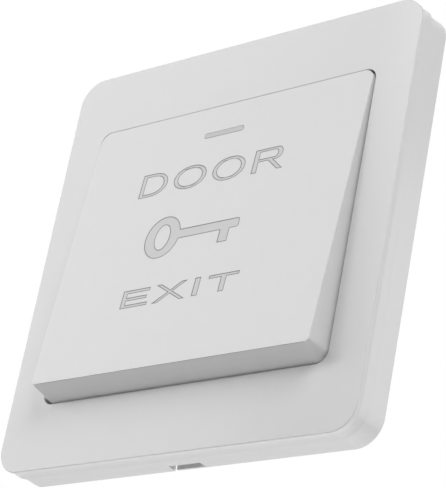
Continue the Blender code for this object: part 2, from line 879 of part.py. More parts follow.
def make_rear_cover(material):
    """The plate that closes the switch well, with a spigot, a spring pin and windows for the terminals."""
    front = rear_cover_front
    drill_rear = rear_cover_rear + cut_margin
    cover = centred_block("rear_cover", (0, well_z), well_size, front, rear_cover_rear, well_corner_radius,
                          material)
    outer = [size - 2 * spigot_gap for size in well_inside]
    inner = [size - 2 * spigot_wall for size in outer]
    spigot = centred_block("spigot", (0, well_z), outer, front - spigot_height, front + overlap)
    cut(spigot, centred_block("spigot_inside", (0, well_z), inner, front - spigot_height - cut_margin,
                              front + cut_margin))
    around_boss = 2 * (boss_radius + boss_inset)
    for side in (-1, 1):
        cut(spigot, centred_block("spigot_corner_" + side_name(side), (side * boss_x, boss_z),
                                  (around_boss, around_boss), front - spigot_height - cut_margin,
                                  front + cut_margin))
    seat_pin_radius = plunger_spring_radius - plunger_spring_wire / 2 - spring_pin_gap
    join(cover, spigot,
         rod_in("seat_pin", (0, plunger_z), front - seat_pin_height, front + overlap, seat_pin_radius))
    window = wire_clamp_size + 2 * window_margin
    for side in (-1, 1):
        where = side_name(side)
        cut(cover,
            centred_block("wire_window_" + where, (side * screw_x, screw_z), (window, window),
                          front - cut_margin, drill_rear, window_margin),
            rod_in("cover_hole_" + where, (side * boss_x, boss_z), front - cut_margin, drill_rear,
                   cover_screw_radius + screw_hole_gap))
    return cover


clear_scene()
parts = new_collection("door_exit_button")
cutters = new_collection("cutters")

white_plastic = make_material("white_plastic", (0.70, 0.70, 0.70), 0.35)
rocker_plastic = make_material("rocker_plastic", (0.73, 0.73, 0.73), 0.38)
strip_plastic = make_material("strip_plastic", (0.50, 0.50, 0.50), 0.30)
nylon = make_material("nylon", (0.62, 0.62, 0.58), 0.45)
brass = make_material("brass", (0.72, 0.52, 0.22), 0.30, 1.0)
silver = make_material("silver", (0.82, 0.81, 0.79), 0.25, 1.0)
steel = make_material("steel", (0.55, 0.55, 0.56), 0.30, 1.0)

make_face_frame(white_plastic)
make_base_plate(white_plastic)
make_rear_cover(white_plastic)
rocker_button = make_rocker(rocker_plastic)
indicator_strip = make_indicator_strip(strip_plastic)
moving = [make_plunger(nylon), make_bridge(brass)]

for side in (-1, 1):
    where = side_name(side)
    moving.append(make_contact("bridge_contact_" + where, side, moving_head_rear, bridge_rear, bridge_front,
                               True, silver))
    make_contact("fixed_contact_" + where, side, fixed_head_front, contact_pad_front, contact_pad_rear,
                 False, silver)
    make_terminal("terminal_" + where, side, brass)
    make_wire_clamp("wire_clamp_" + where, side, steel)
    make_screw("terminal_screw_" + where, (side * screw_x, clamp_rear + stack_gap, screw_z),
               terminal_screw_radius, terminal_screw_length, terminal_head_radius,
               terminal_head_height, steel)
    make_screw("cover_screw_" + where, (side * boss_x, cover_screw_seat, boss_z),
               cover_screw_radius, cover_screw_length, cover_head_radius, cover_head_height, steel)
    coil("rocker_spring_" + where, (side * spring_x, spring_z),
         inner_face_y(spring_z + rocker_spring_radius) + spring_seat_gap, base_front_y - spring_seat_gap,
         rocker_spring_radius, rocker_spring_wire, rocker_spring_turns, steel)

coil("plunger_spring", (0, plunger_z), bridge_rear + spring_seat_gap, rear_cover_front - spring_seat_gap,
     plunger_spring_radius, plunger_spring_wire, plunger_spring_turns, steel)

joint_empty("rocker_hinge", (0, hinge_y, hinge_z), rocker_button, indicator_strip)
joint_empty("plunger_axis", (0, 0, plunger_z), *moving)
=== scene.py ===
# %% [markdown]
# # Door exit button, dressed for its portrait
#
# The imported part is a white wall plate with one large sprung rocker. This file gives each of its
# pieces its finished form and surface. Sizes are in metres, written as millimetres times `mm`.
# X runs right, Y runs into the wall and Z up; the wall's surface is y = 0.

import json
from math import atan2, cos, degrees, pi, radians, sin

import bmesh
import bpy
from mathutils import Matrix, Vector


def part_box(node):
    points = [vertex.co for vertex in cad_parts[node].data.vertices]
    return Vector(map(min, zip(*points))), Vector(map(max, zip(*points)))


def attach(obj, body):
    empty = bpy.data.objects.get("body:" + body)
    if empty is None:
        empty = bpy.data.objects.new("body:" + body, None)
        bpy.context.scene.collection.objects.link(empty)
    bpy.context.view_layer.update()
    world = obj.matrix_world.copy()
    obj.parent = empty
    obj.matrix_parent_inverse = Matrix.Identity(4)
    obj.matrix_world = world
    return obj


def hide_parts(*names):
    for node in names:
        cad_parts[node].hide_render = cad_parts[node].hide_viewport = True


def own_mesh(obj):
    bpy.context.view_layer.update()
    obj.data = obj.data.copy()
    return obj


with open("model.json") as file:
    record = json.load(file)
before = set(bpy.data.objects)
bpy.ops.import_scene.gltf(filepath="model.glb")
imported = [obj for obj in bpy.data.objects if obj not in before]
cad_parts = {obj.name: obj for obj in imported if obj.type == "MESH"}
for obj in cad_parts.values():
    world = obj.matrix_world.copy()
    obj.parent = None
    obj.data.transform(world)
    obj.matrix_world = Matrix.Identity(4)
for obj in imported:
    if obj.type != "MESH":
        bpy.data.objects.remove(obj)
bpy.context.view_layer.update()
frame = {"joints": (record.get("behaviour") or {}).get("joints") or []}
mm = 0.001

# %% [markdown]
# ## Camera
#
# The photograph looks up at the button from low on its right side, from well over a hand's length
# away, with the camera rolled a little. A camera could be placed by trial, but a long lens on a
# square plate leaves few unknowns: its place, the point it looks at, its roll and its focal length
# were worked out from the plate's edges, and are written here as plain values.

# %% Camera
camera_place = Vector((281.31, -289.19, -184.76)) * mm
aim_point = Vector((4.55, -7.8, -1.71)) * mm
camera_roll = radians(11.21)
focal_length = 173.81


def add_camera():
    data = bpy.data.cameras.new("camera")
    data.lens = focal_length
    data.clip_start = 10 * mm
    made = bpy.data.objects.new("camera", data)
    bpy.context.scene.collection.objects.link(made)
    look = (aim_point - camera_place).to_track_quat("-Z", "Y").to_matrix().to_4x4()
    made.matrix_world = Matrix.Translation(camera_place) @ look @ Matrix.Rotation(camera_roll, 4, "Z")
    bpy.context.scene.camera = made
    print("camera is %.0f mm from the plate" % ((aim_point - camera_place).length / mm))


add_camera()

# %% [markdown]
# ## Shader maths
#
# A material is a small graph of nodes. Wiring maths nodes by hand hides the formula, so `Wire` wraps
# a socket and lets the operators add the Math nodes. `Finish.add` makes every other node.

# %% Sockets that can be added and multiplied
class Wire:
    def __init__(self, finish, socket):
        self.finish = finish
        self.socket = socket

    def math(self, operation, *values):
        return self.finish.add("ShaderNodeMath", {"operation": operation}, dict(enumerate(values)))

    def __add__(self, other):
        return self.math("ADD", self, other)

    def __radd__(self, other):
        return self.math("ADD", other, self)

    def __sub__(self, other):
        return self.math("SUBTRACT", self, other)

    def __rsub__(self, other):
        return self.math("SUBTRACT", other, self)

    def __mul__(self, other):
        return self.math("MULTIPLY", self, other)

    def __rmul__(self, other):
        return self.math("MULTIPLY", other, self)

    def largest(self, other):
        return self.math("MAXIMUM", self, other)


# %% A material under construction
class Finish:
    def __init__(self, owner, shader="Principled BSDF"):
        """The nodes of an owner, which is a material or a world, around the shader it starts with."""
        owner.use_nodes = True
        self.owner = owner
        self.nodes = owner.node_tree.nodes
        self.links = owner.node_tree.links
        self.shader = self.nodes[shader]

    def feed(self, node, values):
        for socket, value in values.items():
            if isinstance(value, Wire):
                self.links.new(value.socket, node.inputs[socket])
            else:
                node.inputs[socket].default_value = value

    def add(self, kind, settings=None, values=None, output=0):
        node = self.nodes.new(kind)
        for setting, value in (settings or {}).items():
            setattr(node, setting, value)
        self.feed(node, values or {})
        return Wire(self, node.outputs[output])

    def place(self):
        return self.add("ShaderNodeTexCoord", output="Object")

    def noise(self, cells_per_mm, detail, place=None):
        """Clouds from 0 to 1, as long as wide, or stretched where they get a place of their own."""
        values = {"Vector": place or self.place(), "Scale": cells_per_mm / mm, "Detail": detail}
        return self.add("ShaderNodeTexNoise", values=values, output="Fac")

    def blend(self, share, first, second):
        settings = {"data_type": "RGBA"}
        values = {0: share, 6: (*first, 1.0), 7: (*second, 1.0)}
        return self.add("ShaderNodeMix", settings, values, output=2)

    def bump(self, height, depth):
        """A normal bent by a height from 0 to 1, that stands for a relief of this depth in metres."""
        return self.add("ShaderNodeBump", values={"Height": height, "Distance": depth, "Strength": 1.0})

    def shade_with(self, values):
        """Feed the shader, and give back what it belongs to."""
        self.feed(self.shader, values)
        return self.owner

    def show(self, wire):
        """Send a shader to the output in place of the one that is there."""
        output = [node for node in self.nodes if node.type.startswith("OUTPUT")][0]
        self.links.new(wire.socket, output.inputs["Surface"])
        return self.owner


# %% [markdown]
# ## Plastics
#
# The cover and the rocker are moulded in white plastic with a fine satin texture from the mould. Up
# close it has pores of some tenths of a millimetre, a slow waviness from cooling, and a faint
# mottling in how rough it is. Each is a noise on object coordinates, so it is fixed to the piece.

# %% White moulded plastics
pore_cells = 3.0
wave_cells = 0.06
patch_cells = 0.35
wave_share = 2.0
patch_roughness = 0.08
pore_roughness = 0.03
mottling_mean = 0.05
plastic_specular = 0.45


def moulded_plastic(name, colour, shade, roughness, grain_depth):
    finish = Finish(bpy.data.materials.new(name))
    pores = finish.noise(pore_cells, detail=3.0)
    waves = finish.noise(wave_cells, detail=1.0)
    patches = finish.noise(patch_cells, detail=2.0)
    mottling = patch_roughness * patches + pore_roughness * pores
    print("made", name)
    return finish.shade_with({
        "Base Color": finish.blend(patches, colour, shade),
        "Roughness": roughness + (mottling - mottling_mean),
        "Normal": finish.bump(pores + waves * wave_share, grain_depth),
        "Specular IOR Level": plastic_specular,
    })


def grey(level):
    """The linear grey that shows as this level from 0 to 255."""
    share = level / 255
    return (((share + 0.055) / 1.055) ** 2.4,) * 3


cover_plastic = moulded_plastic("cover_plastic", grey(222), grey(220), 0.14, 0.001 * mm)
rocker_plastic = moulded_plastic("rocker_plastic", grey(226), grey(224), 0.38, 0.004 * mm)
base_plastic = moulded_plastic("base_plastic", grey(218), grey(214), 0.55, 0.008 * mm)
strip_plastic = moulded_plastic("strip_plastic", grey(196), grey(192), 0.28, 0.002 * mm)
nylon = moulded_plastic("nylon", (0.62, 0.61, 0.55), (0.55, 0.54, 0.48), 0.45, 0.006 * mm)
letter_fill = moulded_plastic("letter_fill", grey(212), grey(209), 0.50, 0.004 * mm)
# The groove walls' dark grey is painted shade: it stands for the shadow inside the engraved grooves.
groove_painted_shade = moulded_plastic("groove_painted_shade", grey(148), grey(143), 0.60, 0.004 * mm)


# %% [markdown]
# ## Metals
#
# The hidden switch has brass straps, silver contacts, zinc-plated screws and drawn spring wire.
# Metal is mostly its reflections, so what varies is roughness: fine drawn lines on strip and wire,
# and soft clouds on plating.

# %% Metals
line_cells = 4.0
cloud_cells = 0.4
cloud_roughness = 0.12
line_roughness = 0.08
wear_mean = 0.06


def metal(name, colour, shade, roughness, stretch, grain_depth):
    """Metal with a grain: stretch is how many times longer the grain is along X than across."""
    finish = Finish(bpy.data.materials.new(name))
    across = (1.0 / stretch, 1.0, 1.0)
    drawn = finish.add("ShaderNodeMapping", values={"Vector": finish.place(), "Scale": across})
    lines = finish.noise(line_cells, detail=3.0, place=drawn)
    clouds = finish.noise(cloud_cells, detail=2.0)
    wear = cloud_roughness * clouds + line_roughness * lines
    print("made", name)
    return finish.shade_with({
        "Base Color": finish.blend(clouds, colour, shade),
        "Metallic": 1.0,
        "Roughness": roughness + (wear - wear_mean),
        "Normal": finish.bump(lines, grain_depth),
    })


brass = metal("brass", (0.78, 0.57, 0.26), (0.66, 0.45, 0.18), 0.28, 8.0, 0.002 * mm)
silver = metal("silver", (0.86, 0.85, 0.82), (0.74, 0.72, 0.68), 0.24, 1.0, 0.001 * mm)
zinc_steel = metal("zinc_steel", (0.66, 0.67, 0.69), (0.55, 0.55, 0.54), 0.30, 1.0, 0.002 * mm)
spring_steel = metal("spring_steel", (0.56, 0.56, 0.57), (0.45, 0.45, 0.46), 0.26, 4.0, 0.001 * mm)

# %% The finish of each slot in the record
slot_finishes = {
    "cover_plastic": cover_plastic,
    "base_plastic": base_plastic,
    "rocker_plastic": rocker_plastic,
    "strip_plastic": strip_plastic,
    "nylon": nylon,
    "brass": brass,
    "contact_silver": silver,
    "zinc_steel": zinc_steel,
    "spring_steel": spring_steel,
}
print(len(slot_finishes), "slots have a finish")

# %% [markdown]
# ## Modelling by hand, in code
#
# Every new piece starts as a primitive at its size and place and is shaped in edit mode, as one
# would with the mouse. In code, faces and edges are picked by where they are. Each piece keeps its
# place in its mesh, with its object at the origin, so that patterns stay on it when it moves.

# %% Open, pick, close
def alone(piece):
    if bpy.context.mode != "OBJECT":
        bpy.ops.object.mode_set(mode="OBJECT")
    bpy.ops.object.select_all(action="DESELECT")
    piece.select_set(True)
    bpy.context.view_layer.objects.active = piece


def edit(piece):
    alone(piece)
    bpy.ops.object.mode_set(mode="EDIT")
    bpy.ops.mesh.select_all(action="DESELECT")


def close(piece):
    bpy.ops.object.mode_set(mode="OBJECT")
    return piece


def pick(piece, kind, test):
    """In edit mode, select the faces, edges or corners that pass a test. Gives how many."""
    bpy.ops.mesh.select_mode(type=kind)
    bpy.ops.mesh.select_all(action="DESELECT")
    mesh = bmesh.from_edit_mesh(piece.data)
    items = {"VERT": mesh.verts, "EDGE": mesh.edges, "FACE": mesh.faces}[kind]
    chosen = [item for item in items if test(item)]
    for item in chosen:
        item.select_set(True)
    mesh.select_flush_mode()
    bmesh.update_edit_mesh(piece.data)
    return len(chosen)


near = 0.002 * mm
seam = near / 10
nearly_all = 0.9


def flat_at(axis, value):
    """A test for faces and edges whose corners all lie at one value of an axis."""
    return lambda item: all(abs(v.co[axis] - value) < near for v in item.verts)


def along(axis):
    """A test for straight edges that run along an axis."""
    def test(edge):
        run = edge.verts[0].co - edge.verts[1].co
        return abs(run[axis]) > nearly_all * run.length
    return test


# %% Pull faces and round edges
def extrude(move):
    """Pull the selected faces out by a vector."""
    bpy.ops.mesh.extrude_region_move(TRANSFORM_OT_translate={"value": move})


def round_edges(piece, test, width, steps):
    """Bevel the edges that pass a test."""
    edit(piece)
    pick(piece, "EDGE", test)
    bpy.ops.mesh.bevel(offset=width, segments=steps, affect="EDGES")
    close(piece)


# %% Blocks, cylinders and cuts
def slab(name, low, high, radius=0.0, steps=16):
    """A box between two corners, with its four edges along Y rounded."""
    bpy.ops.object.select_all(action="DESELECT")
    bpy.ops.mesh.primitive_cube_add(size=1.0)
    piece = bpy.context.object
    piece.name = name
    edit(piece)
    bpy.ops.mesh.select_all(action="SELECT")
    bpy.ops.transform.resize(value=[b - a for a, b in zip(low, high)], center_override=(0, 0, 0))
    bpy.ops.transform.translate(value=[(a + b) / 2 for a, b in zip(low, high)])
    if radius > 0:
        pick(piece, "EDGE", along(1))
        bpy.ops.mesh.bevel(offset=radius, segments=steps, affect="EDGES")
    return close(piece)


def rod(name, start, end, radius, sides=48):
    """A cylinder between two points."""
    start = Vector(start)
    end = Vector(end)
    bpy.ops.object.select_all(action="DESELECT")
    bpy.ops.mesh.primitive_cylinder_add(vertices=sides, radius=radius, depth=(end - start).length)
    piece = bpy.context.object
    piece.name = name
    turn = (end - start).to_track_quat("Z", "Y").to_matrix().to_4x4()
    piece.data.transform(Matrix.Translation((start + end) / 2) @ turn)
    return piece


def apply(piece, kind, **settings):
    """Add a modifier and apply it at once."""
    alone(piece)
    step = piece.modifiers.new(kind.lower(), kind)
    for setting, value in settings.items():
        setattr(step, setting, value)
    bpy.ops.object.modifier_apply(modifier=step.name)


def cut(piece, *tools, operation="DIFFERENCE"):
    for tool in tools:
        apply(piece, "BOOLEAN", object=tool, operation=operation, solver="EXACT")
        bpy.data.objects.remove(tool)


def weld(piece, *tools):
    cut(piece, *tools, operation="UNION")


soft_angle = radians(35)
smooth_angle = radians(40)
screw_smooth_angle = radians(30)


def shade(piece, angle=smooth_angle):
    """Smooth the rounds, and let the flats keep their own shading."""
    alone(piece)
    bpy.ops.object.shade_smooth_by_angle(angle=angle)
    apply(piece, "WEIGHTED_NORMAL", weight=100, keep_sharp=True)


def soften(piece, width, steps=2):
    """Round every sharp edge, then shade."""
    apply(piece, "BEVEL", width=width, segments=steps, limit_method="ANGLE", angle_limit=soft_angle)
    shade(piece)


def finish_piece(piece, body, node, slot):
    """Give a piece its body, the node it replaces and its slot, whose finish it gets if it has none."""
    if not piece.data.materials:
        piece.data.materials.append(slot_finishes[slot])
    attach(piece, body)
    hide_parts(node)
    piece.data.calc_loop_triangles()
    print("%s: %d triangles" % (piece.name, len(piece.data.loop_triangles)))


# %% [markdown]
# ## Cover
#
# The cover is one shell, moulded with a rounded square outline, a rectangular opening and a side
# with two tiers: it dips behind the front edge, flares to a ridge, steps in and tapers to the wall.
# A lofted surface could do that, but each tier is only the rear face pulled back and resized, so it
# is extruded ring by ring. Its hollow is the rear face inset by the wall and pushed forward. A block
# that is welded on starts a little inside its neighbour, by `overlap` where nothing else sets it,
# and a tool that cuts reaches past what it cuts, mostly by `margin`.

# %% Sizes of the cover
plate_low, plate_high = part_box("face_frame")
plate_half = plate_high.x
front_y = plate_low.y
corner_radius = 5.3 * mm
wall = 1.6 * mm
face_wall = 2.0 * mm
inside_y = front_y + face_wall
side_dip = 0.25 * mm
dip_start = 0.8 * mm
dip_depth = 1.5 * mm
ridge_y = -4.6 * mm
step_y = -4.3 * mm
side_step = 0.3 * mm
rear_taper = 0.1 * mm
front_edge = 0.15 * mm
side_border = 8.52 * mm
top_border = 13.5 * mm
bottom_border = 13.4 * mm
opening_half = plate_half - side_border
opening_top = plate_half - top_border
opening_bottom = -plate_half + bottom_border
opening_radius = 2.4 * mm
opening_edge = 0.1 * mm
lip_wall = 1.2 * mm
lip_depth = 1.0 * mm
overlap = 0.4 * mm
margin = 2.0 * mm
print("plate is %.1f mm wide and %.1f mm deep" % (2 * plate_half / mm, -front_y / mm))


# %% Outer form of the cover
def cover_body():
    tiers = [
        (plate_half - side_dip, front_y + dip_depth),
        (plate_half, ridge_y),
        (plate_half, step_y),
        (plate_half - side_step, step_y + side_step),
        (plate_half - rear_taper, 0.0),
    ]
    half = plate_half
    y = front_y + dip_start
    cover = slab("cover", (-half, front_y, -half), (half, y, half), corner_radius)
    edit(cover)
    for next_half, next_y in tiers:
        pick(cover, "FACE", flat_at(1, y))
        extrude((0, next_y - y, 0))
        share = next_half / half
        bpy.ops.transform.resize(value=(share, 1, share), center_override=(0, next_y, 0))
        half = next_half
        y = next_y
    pick(cover, "EDGE", flat_at(1, front_y))
    bpy.ops.mesh.bevel(offset=front_edge, segments=5, affect="EDGES")
    pick(cover, "FACE", flat_at(1, 0.0))
    bpy.ops.mesh.inset(thickness=wall - rear_taper, use_even_offset=True)
    extrude((0, inside_y, 0))
    return close(cover)


cover = cover_body()
print("cover has", len(cover.data.polygons), "faces")


# %% Opening and lip of the cover
def opening_slab(name, grown, y_front, y_rear):
    low = (-opening_half - grown, y_front, opening_bottom - grown)
    high = (opening_half + grown, y_rear, opening_top + grown)
    return slab(name, low, high, opening_radius + grown, 12)


def on_opening_edge(edge):
    return flat_at(1, front_y)(edge) and all(abs(v.co.x) < opening_half + near for v in edge.verts)


weld(cover, opening_slab("lip", lip_wall, inside_y - overlap, inside_y + lip_depth))
cut(cover, opening_slab("opening", 0.0, front_y - margin, inside_y + lip_depth + margin))
round_edges(cover, on_opening_edge, opening_edge, 3)
print("cover has", len(cover.data.polygons), "faces with its opening")

# %% Snap barbs and pry notch
snap_reach = 1.0 * mm
snap_foot = 0.15 * mm
snap_length = 1.4 * mm
snap_front = -3.0 * mm
snap_width = 8.0 * mm
snap_offset = 20.0 * mm
notch_half = 3.75 * mm
notch_depth = 2.0 * mm
notch_lip = 0.8 * mm
pocket_margin = 1.0 * mm


def snap_barb(side, z):
    root = side * (plate_half - wall + overlap)
    tip = side * (plate_half - wall - snap_reach)
    low = (min(root, tip), snap_front, z - snap_width / 2)
    high = (max(root, tip), snap_front + snap_length, z + snap_width / 2)
    barb = slab("barb", low, high)
    edit(barb)
    pick(barb, "VERT", lambda v: abs(v.co.x - tip) < near and v.co.y > snap_front + near)
    bpy.ops.transform.translate(value=(side * (snap_reach - snap_foot), 0, 0))
    return close(barb)


for side in (-1, 1):
    for up in (-1, 1):
        weld(cover, snap_barb(side, up * snap_offset))

pocket_half = notch_half + pocket_margin
pocket_front = -notch_depth - pocket_margin
pocket_bottom = -plate_half + side_step + notch_lip
behind_wall = -plate_half + wall + overlap
cut(cover, slab("pocket", (-pocket_half, pocket_front, pocket_bottom), (pocket_half, margin, behind_wall)),
    slab("notch", (-notch_half, -notch_depth, -plate_half - margin), (notch_half, margin, behind_wall)))
shade(cover)
finish_piece(cover, "frame", "face_frame", "cover_plastic")

# %% [markdown]
# ## Rocker
#
# The rocker is a hollow wedge, flush with the cover at its top and proud at its chin. It could be a
# sheared box, but a real face is flat and keeps its rounded corners, so a box's front is turned
# about its top edge instead. The same steps, made smaller by the wall, give the tool that hollows it.

# %% Sizes of the rocker
side_gap = 0.33 * mm
top_gap = 0.16 * mm
bottom_gap = 0.3 * mm
rocker_half = opening_half - side_gap
rocker_top = opening_top - top_gap
rocker_bottom = opening_bottom + bottom_gap
rocker_edge = 0.12 * mm
rocker_wall = 1.8 * mm
corner_inside = 0.6 * mm
rocker_corner = 2.5 * mm
chin_corner = 1.0 * mm
side_lean = 0.5 * mm
top_lean = 0.08 * mm
chin_lean = 1.8 * mm
lean_start = 0.6 * mm
top_proud = 0.15 * mm
rise = 4.55 * mm
face_half = rocker_half - side_lean
chin_z = rocker_bottom + chin_lean
face_top_y = front_y - top_proud
face_height = rocker_top - chin_z
tilt = atan2(rise, face_height)
hinge = Vector(frame["joints"][0]["pos_m"])
press_angle = radians(4.2)
base_floor = -1.6 * mm
floor_room = 0.5 * mm
skirt_depth = 2.8 * mm
skirt_top_y = front_y + skirt_depth
skirt_bottom_y = base_floor - floor_room - (hinge.z - rocker_bottom) * sin(press_angle)
print("rocker's face is tilted by %.2f degrees" % degrees(tilt))


def face_y(z):
    return face_top_y - (rocker_top - z) * rise / face_height


# %% The wedge and its hollow
def sharpen_face(piece, half, top_centre, chin_centre):
    """Lean the walls less towards the top, and draw the face's chin corners out to a smaller radius."""
    mesh = bmesh.from_edit_mesh(piece.data)
    for v in mesh.verts:
        if not v.select:
            continue
        side = 1 if v.co.x > 0 else -1
        arc_centre = half - side_lean - rocker_corner
        if v.co.z < chin_centre and side * v.co.x > arc_centre:
            away = Vector((v.co.x - side * arc_centre, 0, v.co.z - chin_centre)).normalized()
            shift = (Vector((side, 0, -1)) - away) * (rocker_corner - chin_corner)
            v.co += shift + Vector((0, shift.z * rise / face_height, 0))
        share = (v.co.z - chin_centre) / (top_centre - chin_centre)
        v.co.x += side * (side_lean - top_lean) * min(max(share, 0.0), 1.0)
    bmesh.update_edit_mesh(piece.data)


def wedge(name, inset, rear_extra):
    half = rocker_half - inset
    top = rocker_top - inset
    bottom = rocker_bottom + inset
    lean_y = front_y + lean_start + inset
    box_front = lean_y - rocker_wall
    radius = max(rocker_corner - inset, corner_inside)
    piece = slab(name, (-half, box_front, bottom), (half, lean_y, top), radius)
    edit(piece)
    pick(piece, "VERT", lambda v: abs(v.co.y - box_front) < near)
    face_long = (face_height - 2 * inset) / cos(tilt)
    shares = ((face_half - inset) / half, 1, face_long / (top - bottom))
    bpy.ops.transform.resize(value=shares, center_override=(0, box_front, top))
    face_start = face_y(top) + inset / cos(tilt)
    bpy.ops.transform.translate(value=(0, face_start - box_front, 0))
    bpy.ops.transform.rotate(value=tilt, orient_axis="X", center_override=(0, face_start, top))
    sharpen_face(piece, half, top - radius, bottom + chin_lean + radius)
    pick(piece, "FACE", flat_at(1, lean_y))
    extrude((0, skirt_top_y - lean_y, 0))
    slope = (skirt_bottom_y - skirt_top_y) / (rocker_top - rocker_bottom)
    mesh = bmesh.from_edit_mesh(piece.data)
    for v in mesh.verts:
        if v.select:
            v.co.y = skirt_top_y + (rocker_top - v.co.z) * slope + rear_extra
    bmesh.update_edit_mesh(piece.data)
    return close(piece)


def on_front(edge):
    return all(abs(v.co.y - face_y(v.co.z)) < 2 * near for v in edge.verts)


rocker = wedge("rocker", 0.0, 0.0)
lowest = min(v.co.y for v in rocker.data.vertices)
print("rocker's chin is at y = %.2f mm, should be %.2f" % (lowest / mm, face_y(chin_z) / mm))
round_edges(rocker, on_front, rocker_edge, 5)
cut(rocker, wedge("rocker_hollow", rocker_wall, margin))

# %% [markdown]
# Behind the face are two ribs, the post that pushes the plunger, the hinge's ears and pins, two
# hooks that catch behind the base, and a pin in each spring. Each is a block or a rod that starts
# inside the wall, so that the union leaves no seam.

# %% Ribs, post, hinge pins, hooks and spring pins
rib_x = 8.0 * mm
rib_wall = 1.2 * mm
rib_depth = 1.2 * mm
post_radius = 2.2 * mm
plunger_low, plunger_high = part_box("switch_plunger")
plunger_z = (plunger_low.z + plunger_high.z) / 2
post_gap = 0.3 * mm
hinge_x = 27.5 * mm
pin_radius = 1.3 * mm
cradle_half = 1.5 * mm
ear_gap = 0.3 * mm
ear_wall = 1.5 * mm
ear_margin = 0.5 * mm
ear_half = pin_radius + ear_margin
hook_x = 14.0 * mm
hook_half = 2.0 * mm
hook_wall = 1.3 * mm
hook_inset = 0.8 * mm
hook_outer = chin_z + rocker_wall + hook_inset
hook_inner = hook_outer + hook_wall
hook_gap = 0.3 * mm
barb_length = 1.6 * mm
barb_reach = 0.9 * mm
barb_foot = 0.2 * mm
spring_low, spring_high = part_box("rocker_spring_right")
spring_x = (spring_low.x + spring_high.x) / 2
spring_z = (spring_low.z + spring_high.z) / 2
spring_pin_radius = 1.95 * mm
spring_pin_height = 1.5 * mm
buried = 0.9 * mm


def inner_y(z):
    return face_y(z) + rocker_wall / cos(tilt)


def rocker_rib(x):
    rib = slab("rib", (x - rib_wall / 2, 0, chin_z + buried),
               (x + rib_wall / 2, buried + rib_depth, rocker_top - buried))
    edit(rib)
    mesh = bmesh.from_edit_mesh(rib.data)
    for v in mesh.verts:
        v.co.y += inner_y(v.co.z) - buried
    bmesh.update_edit_mesh(rib.data)
    return close(rib)


def hinge_ear(side):
    outer = hinge_x - cradle_half - ear_gap
    x_low, x_high = sorted((side * outer, side * (outer - ear_wall)))
    root = inner_y(hinge.z + ear_half) - buried
    return slab("ear", (x_low, root, hinge.z - ear_half), (x_high, hinge.y + ear_half, hinge.z + ear_half))


def hinge_pin(side):
    start = hinge_x - cradle_half - ear_gap - ear_wall + overlap
    end = hinge_x + cradle_half
    return rod("pin", (side * start, hinge.y, hinge.z), (side * end, hinge.y, hinge.z), pin_radius)


def hook_barb(x):
    tip = hook_gap + barb_length
    barb = slab("barb", (x - hook_half, hook_gap, hook_outer - barb_reach),
                (x + hook_half, tip, hook_outer + hook_wall / 2))
    edit(barb)
    pick(barb, "VERT", lambda v: v.co.y > tip - near and v.co.z < hook_outer)
    bpy.ops.transform.translate(value=(0, 0, barb_reach - barb_foot))
    return close(barb)


def hook_arm(x):
    return slab("arm", (x - hook_half, inner_y(hook_inner) - buried, hook_outer),
                (x + hook_half, hook_gap + barb_length, hook_inner))


def spring_pin(side):
    root = inner_y(spring_z)
    return rod("spring_pin", (side * spring_x, root - buried, spring_z),
               (side * spring_x, root + spring_pin_height, spring_z), spring_pin_radius)


for side in (-1, 1):
    weld(rocker, rocker_rib(side * rib_x), hinge_ear(side), hinge_pin(side), hook_arm(side * hook_x),
         hook_barb(side * hook_x), spring_pin(side))
weld(rocker, rod("post", (0, inner_y(plunger_z) - buried, plunger_z),
                 (0, plunger_low.y - post_gap, plunger_z), post_radius))
print("rocker has", len(rocker.data.polygons), "faces before its lettering")

# %% [markdown]
# ## Lettering
#
# The face says DOOR and EXIT in a wide plain sans, with a key between them: function words and a
# common sign, engraved as a fine groove around a slightly lowered field. The groove's walls are
# painted dark grey: painted shade for the shadow inside the groove. It could be painted with a
# mask, but an engraving is a shape, so each sign is a block sunk into the face with a Boolean.
# D, O, X and I are text objects made meshes and stretched to their boxes. Each floor is then inset
# and raised, which leaves the groove. Places are (x, s), where s runs down the face from its top
# edge.

# %% Letter blocks on the face
groove_depth = 0.06 * mm
groove_width = 0.18 * mm
field_raise = 0.04 * mm
above_face = 0.5 * mm
font_seam = 0.0001


def lay_on_face(piece):
    """Turn a piece drawn flat, with s down and depth along Y, onto the sloping face."""
    piece.data.transform(Matrix.Translation((0, face_top_y, rocker_top)) @ Matrix.Rotation(-tilt, 4, "X"))
    return piece


def letter(sign, x_low, x_high, s_top, s_bottom):
    """A letter of the built-in font, drawn about a metre high and then shrunk into its box."""
    bpy.ops.object.select_all(action="DESELECT")
    bpy.ops.object.text_add()
    text = bpy.context.object
    text.data.body = sign
    text.data.extrude = 0.5
    text.data.resolution_u = 8
    bpy.ops.object.convert(target="MESH")
    piece = bpy.context.object
    piece.name = "letter"
    edit(piece)
    bpy.ops.mesh.select_all(action="SELECT")
    bpy.ops.mesh.remove_doubles(threshold=font_seam)
    close(piece)
    piece.data.transform(Matrix.Rotation(pi / 2, 4, "X"))
    low = [min(v.co[axis] for v in piece.data.vertices) for axis in range(3)]
    high = [max(v.co[axis] for v in piece.data.vertices) for axis in range(3)]
    target_low = (x_low, -above_face, -s_bottom)
    target_high = (x_high, groove_depth, -s_top)
    for v in piece.data.vertices:
        for axis in range(3):
            share = (v.co[axis] - low[axis]) / (high[axis] - low[axis])
            v.co[axis] = target_low[axis] + share * (target_high[axis] - target_low[axis])
    return lay_on_face(piece)


# Each letter with its left, right, top and bottom in millimetres
letters = [
    ("D", -18.75, -11.87, 12.95, 18.28),
    ("O", -10.22, -2.05, 13.0, 18.3),
    ("O", -0.47, 7.6, 12.95, 18.3),
    ("X", -7.25, 1.0, 39.45, 43.4),
    ("I", 2.6, 4.0, 39.4, 43.3),
]

# %% [markdown]
# The R, E and T of a text font have a stem and arms unlike the wide ones that go with these
# letters, so they are put together from blocks. The R is a bowl with its counter, a stem and a leg
# whose foot is pulled to the right. The key could be put together too, but a union of flush blocks
# leaves slivers at its ring. So the ring's side is pulled out as the shaft, and the bit from that.

